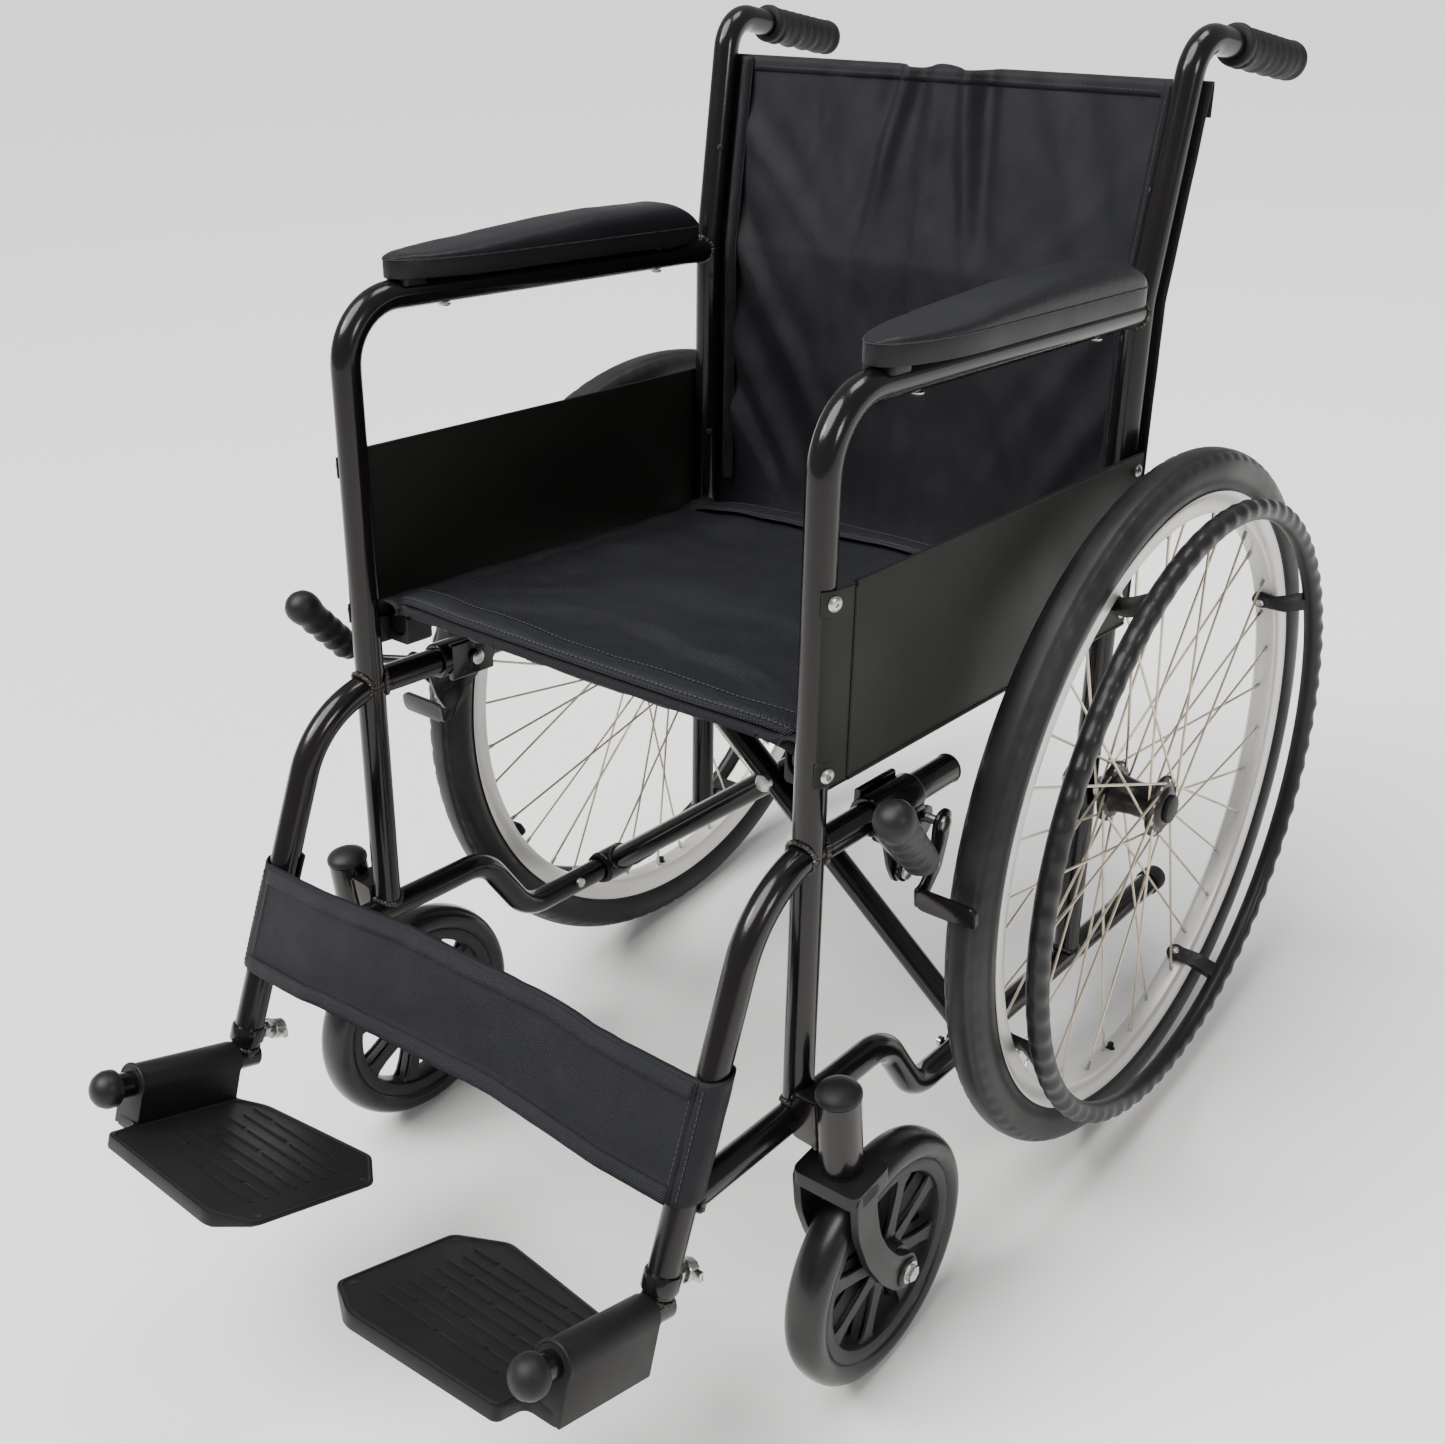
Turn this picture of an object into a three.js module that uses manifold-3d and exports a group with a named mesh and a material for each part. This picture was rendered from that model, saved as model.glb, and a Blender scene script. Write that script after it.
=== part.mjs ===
// Folding manual wheelchair, millimetres, +Z up. The chair faces -Y and X = 0 is its plane of symmetry.
// Nodes called l_ stand at -X and nodes called r_ at +X. Origin: bottom centre of the bounding box, on the ground.
import * as THREE from 'three';
import { mergeVertices } from 'three/addons/utils/BufferGeometryUtils.js';
import Module from 'manifold-3d';

const wasm = await Module();
wasm.setup();

// ---- driving dimensions ----
const TUBE = 11.1;            // radius of the frame tubes (22.2 mm tube)
const SIDE_X = 218;           // half distance between the two side frames
const PITCH = 7;              // the side frames lean back by this many degrees about the rear axle
const AXLE_Y = 250, AXLE_Z = 305;   // rear axle
const REAR_X = 275;           // middle plane of a rear wheel
const REAR_R = 305;           // 24 inch rear wheel
const HANDRIM_X = 318.5, HANDRIM_R = 263, HANDRIM_TUBE = 9.2;
const POST_U = -164;          // front post
const BACK_U = 247;           // back post
const ARM_W = 706;            // axis of the arm tube
const HANGER_W = 405;         // axis of the hanger tube
const RAIL_FRONT_W = 200, RAIL_REAR_W = 130;  // axis of the lower rail before and after its bend
const SEAT_X = 200, SEAT_W = 458;   // seat tubes
const PIVOT_W = 301;          // scissor pivot
const BRACE_B_U = 83, BRACE_A_U = 107;        // planes of the two cross bars
const CASTER_X = 257.6, CASTER_Y = -177;      // caster swivel axis, vertical
const CASTER_TRAIL = 39, CASTER_R = 100;
const LEG_U = -252.5, LEG_W = 297.5, LEG_DU = -0.347, LEG_DW = -0.938;   // straight leg of the hanger
const HINGE_U = -314, HINGE_W = 131, HINGE_RISE = 16;  // footplate hinge: lower end, upward slope in degrees
const GAP = 0.35;             // gap between neighbours that touch

// ---- looks of the bare solids ----
const look = (color, roughness, metalness) => new THREE.MeshStandardMaterial({ color, roughness, metalness });
const FRAME = look('#17161a', 0.25, 0.3), PLASTIC = look('#1a1b1d', 0.5, 0), GUARD = look('#30322f', 0.6, 0);
const FABRIC = look('#24272c', 0.8, 0), VINYL = look('#1d1e21', 0.45, 0), RUBBER = look('#191919', 0.75, 0);
const TYRE = look('#1e1e20', 0.6, 0), RIM = look('#a9abad', 0.3, 0.9), SPOKE = look('#b9ab93', 0.35, 0.8);
const ZINC = look('#b4b6b8', 0.3, 0.95), WHEEL = look('#3a3b3d', 0.5, 0);

// ---- helpers ----
const V = (x, y, z) => new THREE.Vector3(x, y, z);
const deg = THREE.MathUtils.degToRad;

// a closed geometry as a solid, with its faces pointing out
function solid(geometry) {
  let g = geometry.clone();
  for (const n of Object.keys(g.attributes)) if (n !== 'position') g.deleteAttribute(n);
  g = mergeVertices(g, 1e-3);
  const p = g.attributes.position, src = g.index.array, tri = [];
  let volume = 0;
  const a = V(), b = V(), c = V();
  for (let i = 0; i < src.length; i += 3) {
    const [i0, i1, i2] = [src[i], src[i + 1], src[i + 2]];
    if (i0 === i1 || i1 === i2 || i2 === i0) continue;
    a.fromBufferAttribute(p, i0); b.fromBufferAttribute(p, i1); c.fromBufferAttribute(p, i2);
    volume += a.dot(b.cross(c));
    tri.push(i0, i1, i2);
  }
  if (volume < 0) for (let i = 0; i < tri.length; i += 3) [tri[i], tri[i + 1]] = [tri[i + 1], tri[i]];
  return new wasm.Manifold(new wasm.Mesh({ numProp: 3, vertProperties: new Float32Array(p.array), triVerts: new Uint32Array(tri) }));
}
function geometryOf(manifold) {
  const m = manifold.getMesh(), g = new THREE.BufferGeometry();
  g.setAttribute('position', new THREE.BufferAttribute(new Float32Array(m.vertProperties), 3));
  g.setIndex(Array.from(m.triVerts));
  return g;
}
const placed = (geometry, ...cols) => { const m = new THREE.Matrix4().makeBasis(...cols); return geometry.applyMatrix4(m); };

// polyline with rounded corners, as stations for a swept tube
class Route extends THREE.Curve {
  constructor(stations) { super(); this.stations = stations; }
  getPoint(t, out = V()) {
    const n = this.stations.length - 1, f = THREE.MathUtils.clamp(t * n, 0, n), i = Math.min(n - 1, Math.floor(f));
    return out.lerpVectors(this.stations[i].p, this.stations[i + 1].p, f - i);
  }
  getPointAt(t, out) { return this.getPoint(t, out); }
  getTangent(t, out = V()) { return out.copy(this.stations[Math.round(t * (this.stations.length - 1))].t); }
  getTangentAt(t, out) { return this.getTangent(t, out); }
}
function rounded(points, radii, arc = 5) {
  const st = [], n = points.length;
  const dir = i => points[i + 1].clone().sub(points[i]).normalize();
  st.push({ p: points[0].clone(), t: dir(0) });
  for (let i = 1; i < n - 1; i++) {
    const d0 = dir(i - 1), d1 = dir(i), turn = d0.angleTo(d1);
    const r = Array.isArray(radii) ? radii[i - 1] : radii;
    if (turn < 0.01) continue;
    const cut = r * Math.tan(turn / 2), axis = d0.clone().cross(d1).normalize();
    const start = points[i].clone().addScaledVector(d0, -cut), inward = axis.clone().cross(d0);
    const centre = start.clone().addScaledVector(inward, r);
    for (let k = 0; k <= arc; k++) {
      const q = turn * k / arc;
      st.push({ p: start.clone().sub(centre).applyAxisAngle(axis, q).add(centre), t: d0.clone().applyAxisAngle(axis, q) });
    }
  }
  st.push({ p: points[n - 1].clone(), t: dir(n - 2) });
  return st;
}
function ring(r, sides) {
  const s = [];
  for (let k = 0; k < sides; k++) s.push(new THREE.Vector2(r * Math.cos(2 * Math.PI * (k + 0.5) / sides), r * Math.sin(2 * Math.PI * (k + 0.5) / sides)));
  return new THREE.Shape(s);
}
function tube(points, radii, r, sides = 12, arc = 5) {
  const st = rounded(points, radii, arc);
  return solid(new THREE.ExtrudeGeometry(ring(r, sides), { steps: st.length - 1, extrudePath: new Route(st) }));
}
// straight cylinder between two points
function rod(p0, p1, r, sides = 12, r1 = r) {
  const axis = p1.clone().sub(p0), g = new THREE.CylinderGeometry(r1, r, axis.length(), sides);
  g.applyQuaternion(new THREE.Quaternion().setFromUnitVectors(V(0, 1, 0), axis.clone().normalize()));
  return solid(g.translate(...p0.clone().add(p1).multiplyScalar(0.5).toArray()));
}
const box = (x0, x1, y0, y1, z0, z1) => solid(new THREE.BoxGeometry(x1 - x0, y1 - y0, z1 - z0).translate((x0 + x1) / 2, (y0 + y1) / 2, (z0 + z1) / 2));
const flat = pts => new THREE.Shape(pts.map(([a, b]) => new THREE.Vector2(a, b)));
// outline in (y, z) carried along X
const plateX = (pts, x0, x1) => solid(placed(new THREE.ExtrudeGeometry(flat(pts), { depth: x1 - x0, bevelEnabled: false }), V(0, 1, 0), V(0, 0, 1), V(1, 0, 0)).translate(x0, 0, 0));
// outline in (x, z) carried along Y
const plateY = (pts, y0, y1) => solid(placed(new THREE.ExtrudeGeometry(flat(pts), { depth: y1 - y0, bevelEnabled: false }), V(1, 0, 0), V(0, 0, 1), V(0, -1, 0)).translate(0, y1, 0));
// outline in (x, y) carried along Z
const plateZ = (pts, z0, z1) => solid(new THREE.ExtrudeGeometry(flat(pts), { depth: z1 - z0, bevelEnabled: false }).translate(0, 0, z0));
// profile of (radius, x) turned about the X axis, or (radius, z) about the Z axis
const latheX = (pts, sides) => solid(placed(new THREE.LatheGeometry(pts.map(([r, x]) => new THREE.Vector2(r, x)), sides), V(0, 1, 0), V(1, 0, 0), V(0, 0, -1)));
const latheZ = (pts, sides) => solid(placed(new THREE.LatheGeometry(pts.map(([r, z]) => new THREE.Vector2(r, z)), sides), V(1, 0, 0), V(0, 0, 1), V(0, -1, 0)));
const shift = (m, x, y, z) => solid(geometryOf(m).translate(x, y, z));
const turned = (m, matrix) => solid(geometryOf(m).applyMatrix4(matrix));
const all = list => list.reduce((a, b) => a.add(b));
const arcPts = (cy, cz, r, a0, a1, n) => Array.from({ length: n + 1 }, (_, k) => [cy + r * Math.cos(deg(a0 + (a1 - a0) * k / n)), cz + r * Math.sin(deg(a0 + (a1 - a0) * k / n))]);

// side frame coordinates (x, u, w) are the object's (x, y, z) turned by PITCH about the rear axle
const tilt = new THREE.Matrix4().makeTranslation(0, AXLE_Y, AXLE_Z).multiply(new THREE.Matrix4().makeRotationX(-deg(PITCH))).multiply(new THREE.Matrix4().makeTranslation(0, -AXLE_Y, -AXLE_Z));

const object = new THREE.Group();
object.name = 'wheelchair';
const upright = new THREE.Group();      // pieces that stand square to the ground
const leaning = new THREE.Group();      // pieces of the tilted side frames
leaning.applyMatrix4(tilt);
object.add(upright, leaning);

function put(name, manifold, material, group, side = 1) {
  let g = geometryOf(manifold);
  if (side < 0) {
    g.scale(-1, 1, 1);
    const ix = g.index.array;
    for (let i = 0; i < ix.length; i += 3) [ix[i], ix[i + 1]] = [ix[i + 1], ix[i]];
  }
  g.computeVertexNormals();
  const mesh = new THREE.Mesh(g, material.clone());
  mesh.name = name;
  group.add(mesh);
  return mesh;
}

// ---- one side frame, drawn at +X and mirrored for -X ----
const at = (u, w, x = SIDE_X) => V(x, u, w);
const legU = w => LEG_U + (w - LEG_W) * LEG_DU / LEG_DW;
const legAt = w => at(legU(w), w);
const alongX = (u, w, r, x0, x1, sides = 10) => rod(V(x0, u, w), V(x1, u, w), r, sides);
const armRear = BACK_U - TUBE - GAP;
const postRoute = foot => [at(POST_U, foot), at(POST_U, ARM_W - 3), at(armRear, ARM_W + 6)];
const seatBore = (u0, u1) => rod(V(SEAT_X, u0, SEAT_W), V(SEAT_X, u1, SEAT_W), 12.3, 16);
// open saddle in which a seat tube rests, with a web to its post
const saddle = (u0, u1, webStart, webEnd) => box(186, 215.5, u0, u1, 441, 463).add(box(207.5, 215.5, webStart, webEnd, 441, 463))
  .subtract(seatBore(-200, 300)).subtract(box(187.7, 212.3, Math.min(u0, webStart) - 5, Math.max(u1, webEnd) + 5, SEAT_W, 480));

function sideFrame(p, s) {
  // front post and arm tube: one bent tube, with the front saddle welded on
  put(p + 'post_arm', tube(postRoute(RAIL_FRONT_W + TUBE + GAP), [50], TUBE, 12, 6).add(saddle(-149, -126, -158, -140)), FRAME, leaning, s);

  // back post, leaning rearward above the arm tube and bent into the push handle
  const handle = [at(BACK_U, RAIL_REAR_W + TUBE + GAP), at(BACK_U, 718), V(224, 279, 910.4), V(234.2, 432, 896.1)];
  put(p + 'back_post', tube(handle, [60, 32], TUBE, 12, 5).add(saddle(204, 228, 222, 240)).subtract(alongX(AXLE_Y, AXLE_Z, 6.2, 200, 240, 12)), FRAME, leaning, s);
  const g0 = V(228, 337, 905), g1 = V(235, 444, 895), gd = g1.clone().sub(g0).normalize();
  const gAt = t => g0.clone().addScaledVector(gd, t);
  put(p + 'push_grip', all([rod(gAt(0), gAt(6), 19, 12), rod(gAt(5), gAt(102), 15.4, 12), rod(gAt(101), gAt(108), 15.4, 12, 11)])
    .subtract(rod(gAt(-5), gAt(98.5), 12.1, 12)), RUBBER, leaning, s);

  // hanger tube, hollow in its straight leg, and the stub behind the post that carries the brake
  const postClear = tube(postRoute(150), [50], TUBE + 0.45, 14, 6);
  const corner = at(LEG_U + (HANGER_W - LEG_W) * LEG_DU / LEG_DW, HANGER_W);
  put(p + 'hanger_tube', tube([at(-150, HANGER_W), corner, legAt(142)], [85], TUBE, 12, 6).subtract(postClear)
    .subtract(box(200, 236, -163, -100, 380, 430)).subtract(rod(legAt(120), legAt(335), 10.1, 14))
    .subtract(rod(legAt(150), legAt(150).add(V(0, 30 * 0.938, -30 * 0.347)), 3.6, 8)), FRAME, leaning, s);
  put(p + 'brake_stub', rod(at(POST_U + TUBE + 0.6, HANGER_W), at(8, HANGER_W), TUBE, 12), FRAME, leaning, s);

  // lower rail, stepped down behind the post, with a plastic end cap
  put(p + 'lower_rail', tube([at(-300, RAIL_FRONT_W), at(-57, RAIL_FRONT_W), at(-8, RAIL_REAR_W), at(420, RAIL_REAR_W)], [42, 42], TUBE, 12, 4)
    .subtract(rod(legAt(110), legAt(330), TUBE + 0.5, 14)).subtract(box(200, 240, -330, -291, 150, 250)), FRAME, leaning, s);
  put(p + 'tip_cap', rod(at(420.5, RAIL_REAR_W), at(442, RAIL_REAR_W), 12.6, 16, 11.4), RUBBER, leaning, s);

  // caster housing, square to the ground, with a short lug to the foot of the post
  const near = turned(rod(at(-330, RAIL_FRONT_W), at(-60, RAIL_FRONT_W), TUBE + 0.5, 14).add(rod(at(POST_U, RAIL_FRONT_W - 5), at(POST_U, 330), TUBE + 0.5, 14)), tilt);
  const cup = shift(latheZ([[0, 288], [7, 288], [7, 225], [15.75, 225], [15.75, 284], [13.6, 289], [8, 292.3], [0, 293]], 16), CASTER_X, CASTER_Y, 0);
  const lug = box(225, CASTER_X - 10, CASTER_Y - 9, CASTER_Y + 12, 236, 279).subtract(near);
  put(p + 'caster_housing', cup.add(lug), FRAME, upright, s);

  // skirt guard outside the posts
  put(p + 'skirt_guard', plateX([[-174, 457], [-152, 455], [258, 455], [258, 601], [60, 594], [-144, 589], [-174, 589]], 229.6, 232.2), GUARD, leaning, s);

  // arm pad on its base
  put(p + 'arm_pad_base', plateX([[-122, 715.9], [215, 723.6], [215, 729.4], [-122, 722.4]], 191, 245), PLASTIC, leaning, s);
  const crown = [[-26, 0], [26, 0], [28, 5], [26, 13], [19, 18.5], [0, 20.5], [-19, 18.5], [-26, 13], [-28, 5]];
  put(p + 'arm_pad', turned(plateY(crown, -124, 217), new THREE.Matrix4().makeTranslation(SIDE_X, 0, 725.4).multiply(new THREE.Matrix4().makeRotationX(Math.atan(7 / 337)))), VINYL, leaning, s);

  // thumb screw through the leg, clamping the footrest extension
  const k = t => legAt(150).add(V(0, t * 0.938, -t * 0.347));
  put(p + 'thumb_screw', all([rod(k(10), k(24), 3, 8), rod(k(20), k(32), 8, 10), rod(k(TUBE + 0.8), k(16), 6, 8)]), ZINC, leaning, s);

  // brake: clamp on the stub, lever with its grip, and the shoe that swings onto the tyre
  const shoePin = [-42.4, 389], leverPin = [-75, 362];
  const clamp = box(203.5, 233.6, -98, -44, 389.5, 420.5).subtract(rod(at(-120, HANGER_W), at(-20, HANGER_W), TUBE + 0.45, 14));
  const lugPlate = plateX([[-98, 393], [-90, 360], [-78, 350], [-68, 352], [-32, 382], [-34, 396], [-46, 400], [-98, 400]], 230.2, 233.6);
  put(p + 'brake_bracket', all([clamp, lugPlate, alongX(...shoePin, 3.6, 231, 251), alongX(...leverPin, 3.6, 231, 242)]), FRAME, leaning, s);
  const bar = plateX([[-82, 368], [-84, 358], [-75, 352], [-66, 356], [-64, 366], [-84, 392], [-104, 412], [-115, 405], [-96, 384]], 234.8, 239)
    .subtract(alongX(...leverPin, 4.4, 230, 245));
  const lever0 = V(285, -127, 406), leverDir = V(0.038, -0.672, 0.740), lv = t => lever0.clone().addScaledVector(leverDir, t);
  put(p + 'brake_lever', bar.add(tube([V(236.9, -105, 403), V(284.5, -118, 396), lv(-1)], [8], 3.6, 8, 3)), FRAME, leaning, s);
  put(p + 'brake_grip', all([rod(lv(-0.4), lv(54), 9.5, 12, 10.5), rod(lv(53.5), lv(65), 10.5, 12, 13.5), rod(lv(64.5), lv(78), 13.5, 12, 9)]), PLASTIC, leaning, s);
  // the shoe is square to the ground: upright strap, then a flat bar across the front of the tyre
  put(p + 'brake_shoe', all([plateX([[-40, 430], [-34, 434], [-24, 434], [-19, 428], [-22, 412], [-32, 388], [-56, 370], [-65, 370], [-65, 387], [-60, 387], [-46, 396]], 244.8, 247.8),
    box(245, 296, -65, -60.5, 370, 387)]).subtract(alongX(-30.15, 424.2, 4.5, 240, 255)), FRAME, upright, s);

  // footrest extension: inner tube, hinge tube across its lower end, domed knob in front
  const rise = deg(HINGE_RISE), hd = V(0, -Math.cos(rise), Math.sin(rise)), h = t => V(218.3, HINGE_U, HINGE_W).addScaledVector(hd, t);
  put(p + 'footrest_extension', all([rod(V(218.3, HINGE_U, HINGE_W), legAt(305), 9.2, 14), rod(h(-11), h(113), 9.5, 14), rod(h(112), h(122), 11.5, 14), rod(h(121.5), h(126), 11.5, 14, 7)]), FRAME, leaning, s);
  const barrelTop = arcPts(0, 0, 14, 0, 180, 8);
  const outline = [[-176, -9], [-143, 16.5], [-36, 2], [-14, -11], [14, -11], [14, -95], [-13, -96], [-13.7, -119.8], [-144.5, -126.4], [-176, -110]];
  const thinned = plateY([[-182, -28.6], [-176, -28.6], [-158, -37.6], [-158, -38], [-182, -38]], -130, 20);
  const step = plateZ(outline, -37, -26).subtract(thinned).add(plateY([[14, -27], ...barrelTop, [-14, -27]], -95, -11)).subtract(rod(V(0, 5, 0), V(0, -110, 0), 10.4, 16))
    .subtract(rod(V(-168, -13, -60), V(-168, -13, 0), 2.5, 8)).subtract(rod(V(-168, -102, -60), V(-168, -102, 0), 2.5, 8));
  put(p + 'footplate', turned(step, new THREE.Matrix4().makeTranslation(218.3, HINGE_U, HINGE_W).multiply(new THREE.Matrix4().makeRotationX(-rise))), PLASTIC, leaning, s);

  // caster: fork with its stem, wheel, tyre and axle bolt
  const cy = CASTER_Y + CASTER_TRAIL, flatOut = n => 1 / Math.cos(Math.PI / n);
  const legShape = [[-198, 222], [-156, 222], [-150, 200], [-136, 160], [-124.5, 112], [-124.5, 92], [-131, 86], [-145, 86], [-151.5, 92], [-156, 120], [-174, 165], [-195, 198]];
  put(p + 'caster_fork', all([plateX(legShape, CASTER_X + 22, CASTER_X + 28), plateX(legShape, CASTER_X - 28, CASTER_X - 22), box(CASTER_X - 28, CASTER_X + 28, -198, -156, 211, 222),
    rod(V(CASTER_X, CASTER_Y, 221), V(CASTER_X, CASTER_Y, 284), 6, 14)]).subtract(alongX(cy, CASTER_R, 4.6, CASTER_X - 40, CASTER_X + 40)), PLASTIC, upright, s);
  const axleBolt = all([rod(V(-28, 0, 0), V(28, 0, 0), 4, 10), rod(V(28.4, 0, 0), V(33.5, 0, 0), 8, 12, 6.5), rod(V(-33.5, 0, 0), V(-28.4, 0, 0), 7, 6), rod(V(-29, 0, 0), V(29, 0, 0), 4, 10)]);
  put(p + 'caster_axle', axleBolt, ZINC, upright, s).position.set(s * CASTER_X, cy, CASTER_R);
  const CN = 24, ck = flatOut(CN), half = (m, n) => turned(m, new THREE.Matrix4().makeRotationX(Math.PI / n));
  const spoke = k => turned(box(-7, 7, -5, 5, 13, 71), new THREE.Matrix4().makeRotationX(k * Math.PI / 4));
  const casterWheel = all([half(latheX([[69 * ck, -10], [76.5 * ck, -13], [76.5 * ck, 13], [69 * ck, 10], [69 * ck, -10]], CN), CN),
    latheX([[5.2, -19.5], [15, -19.5], [15, 19.5], [5.2, 19.5], [5.2, -19.5]], 12), ...[0, 1, 2, 3, 4, 5, 6, 7].map(spoke)]);
  put(p + 'caster_wheel', casterWheel, WHEEL, upright, s).position.set(s * CASTER_X, cy, CASTER_R);
  const tread = [[77.2, -13], [82, -16.5], [91, -16.5], [100, -5], [100, 5], [91, 16.5], [82, 16.5], [77.2, 13], [77.2, -13]];
  put(p + 'caster_tyre', half(latheX(tread.map(([r, x]) => [r * ck, x]), CN), CN), TYRE, upright, s).position.set(s * CASTER_X, cy, CASTER_R);

  // rear wheel: tyre, rim, hub with 36 crossed spokes, handrim on four brackets; its axle bolt is fixed in the back post
  const N = 40, wk = flatOut(N), wheelAt = mesh => mesh.position.set(s * REAR_X, AXLE_Y, AXLE_Z);
  const big = [[266.6, -12.5], [275, -17.5], [288, -19], [300, -11], [REAR_R, -3], [REAR_R, 3], [300, 11], [288, 19], [275, 17.5], [266.6, 12.5], [266.6, -12.5]];
  wheelAt(put(p + 'rear_tyre', half(latheX(big.map(([r, x]) => [r * wk, x]), N), N), TYRE, upright, s));
  const rim = [[253, -6], [257.5, -11.5], [266, -12.3], [266, 12.3], [257.5, 11.5], [253, 6], [253, -6]];
  wheelAt(put(p + 'rear_rim', half(latheX(rim.map(([r, x]) => [r * wk, x]), N), N), RIM, upright, s));
  const hub = latheX([[6.8, -36], [14, -36], [17, -33], [27, -32.5], [27, -27.5], [13, -25], [13, 11], [27, 13.5], [27, 18.5], [14, 21.5], [6.8, 21.5], [6.8, -36]], 16);
  const onWheel = (r, angle, x) => V(x, r * Math.cos(deg(angle)), r * Math.sin(deg(angle)));
  const spokes = [];
  for (let j = 0; j < 9; j++) for (const [flange, turn] of [[-30, 0], [16, 10]]) for (const dir of [1, -1]) {
    const hole = turn + 40 * j + (dir < 0 ? 20 : 0);
    spokes.push(rod(onWheel(23, hole, flange + dir * 1.5), onWheel(252.5, hole + 60 * dir, Math.sign(flange) * 2.8 + dir * 1.5), 1.2, 4));
  }
  wheelAt(put(p + 'hub_spokes', all([hub, ...spokes]), SPOKE, upright, s));
  const hoop = solid(placed(new THREE.TorusGeometry(HANDRIM_R, HANDRIM_TUBE, 7, N), V(0, 0, 1), V(0, 1, 0), V(-1, 0, 0)).translate(HANDRIM_X - REAR_X, 0, 0));
  const bracket = k => turned(plateY([[12.8, 255], [12.8, 265], [24, 265], [34, 266], [43, 263], [38, 256], [25, 255]], -7, 7), new THREE.Matrix4().makeRotationX(deg(90 * k + 24)));
  wheelAt(put(p + 'handrim', all([hoop, ...[0, 1, 2, 3].map(bracket)]), FRAME, upright, s));
  put(p + 'rear_axle', all([alongX(AXLE_Y, AXLE_Z, 5.6, 200, 301, 12), alongX(AXLE_Y, AXLE_Z, 9.5, 198.5, 206, 6), alongX(AXLE_Y, AXLE_Z, 9.5, 229.8, 238.3, 12), rod(V(297.2, AXLE_Y, AXLE_Z), V(302, AXLE_Y, AXLE_Z), 12.5, 16, 9.5)]), ZINC, upright, s);
}
sideFrame('l_', -1);
sideFrame('r_', 1);

// ---- scissor brace: each bar carries a lower sleeve round a rail and a seat tube ----
function brace(name, u, s) {   // s: side of the seat tube
  const bar = rod(V(-s * SIDE_X, u, RAIL_REAR_W), V(s * SEAT_X, u, SEAT_W), TUBE, 12);
  const sleeve = rod(V(-s * SIDE_X, u - 15, RAIL_REAR_W), V(-s * SIDE_X, u + 15, RAIL_REAR_W), 15.6, 16);
  const seatTube = rod(V(s * SEAT_X, -148, SEAT_W), V(s * SEAT_X, 225, SEAT_W), TUBE, 12);
  put(name, all([bar, sleeve, seatTube]).subtract(rod(V(-s * SIDE_X, u - 30, RAIL_REAR_W), V(-s * SIDE_X, u + 30, RAIL_REAR_W), 12, 18))
    .subtract(rod(V(0, u - 30, PIVOT_W), V(0, u + 30, PIVOT_W), 4.7, 12)), FRAME, leaning);
}
brace('brace_a', BRACE_A_U, 1);
brace('brace_b', BRACE_B_U, -1);
put('pivot_bolt', all([rod(V(0, 66, PIVOT_W), V(0, 124, PIVOT_W), 4, 12), rod(V(0, 66, PIVOT_W), V(0, 71.4, PIVOT_W), 8.5, 12), rod(V(0, 118.6, PIVOT_W), V(0, 125, PIVOT_W), 8, 6)]), ZINC, leaning);

// ---- fabric pieces, as plain solids ----
put('seat_sling', box(-205, 205, -163, 228, 470, 487), FABRIC, leaning);
put('back_sling', plateX([[243, 500], [251, 500], [251, 716], [275.5, 876], [267.5, 878], [243, 718]], -206, 206), FABRIC, leaning);
put('calf_strap', plateX([[legU(205) - 3, 204], [legU(205) + 3, 206], [legU(287) + 3, 288], [legU(287) - 3, 286]], -206, 206), FABRIC, leaning);

// origin: bottom centre of the whole chair
object.updateMatrixWorld(true);
const extent = new THREE.Box3().setFromObject(object, true), middle = extent.getCenter(V());
object.position.set(-middle.x, -middle.y, -extent.min.z);

export default object;
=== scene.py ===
import math
import bpy
import bmesh
from mathutils import Vector, Matrix, noise


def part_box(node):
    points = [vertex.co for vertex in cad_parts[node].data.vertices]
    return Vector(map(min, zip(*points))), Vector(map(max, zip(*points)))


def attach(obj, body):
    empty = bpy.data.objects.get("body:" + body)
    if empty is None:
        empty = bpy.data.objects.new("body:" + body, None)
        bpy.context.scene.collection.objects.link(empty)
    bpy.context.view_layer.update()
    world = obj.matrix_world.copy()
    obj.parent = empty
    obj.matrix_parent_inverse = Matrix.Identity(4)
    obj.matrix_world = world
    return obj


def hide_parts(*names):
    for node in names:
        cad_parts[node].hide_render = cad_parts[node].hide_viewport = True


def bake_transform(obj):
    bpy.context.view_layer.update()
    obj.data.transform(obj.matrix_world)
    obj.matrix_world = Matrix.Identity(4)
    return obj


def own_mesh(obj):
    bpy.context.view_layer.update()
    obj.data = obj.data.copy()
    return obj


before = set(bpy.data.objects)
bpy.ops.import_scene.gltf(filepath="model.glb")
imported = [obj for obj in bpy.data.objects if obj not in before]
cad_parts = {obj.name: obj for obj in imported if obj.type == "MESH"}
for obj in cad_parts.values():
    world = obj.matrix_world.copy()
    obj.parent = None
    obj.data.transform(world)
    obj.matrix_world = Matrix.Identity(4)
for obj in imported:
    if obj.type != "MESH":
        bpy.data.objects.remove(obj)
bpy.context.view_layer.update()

# ------------------------------------------------------------------ frames of reference (millimetres in, metres out)
PITCH = math.radians(7.0)
AXY, AXZ = 250.0, 305.0
left_box, right_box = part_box("l_rear_tyre"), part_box("r_rear_tyre")
SHIFT = (left_box[0][1] + left_box[1][1]) / 2 * 1000 - AXY      # the frame's own Y of the axle, less 250


def WLD(x, y, z):
    return Vector((x / 1000, (y + SHIFT) / 1000, z / 1000))


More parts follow.
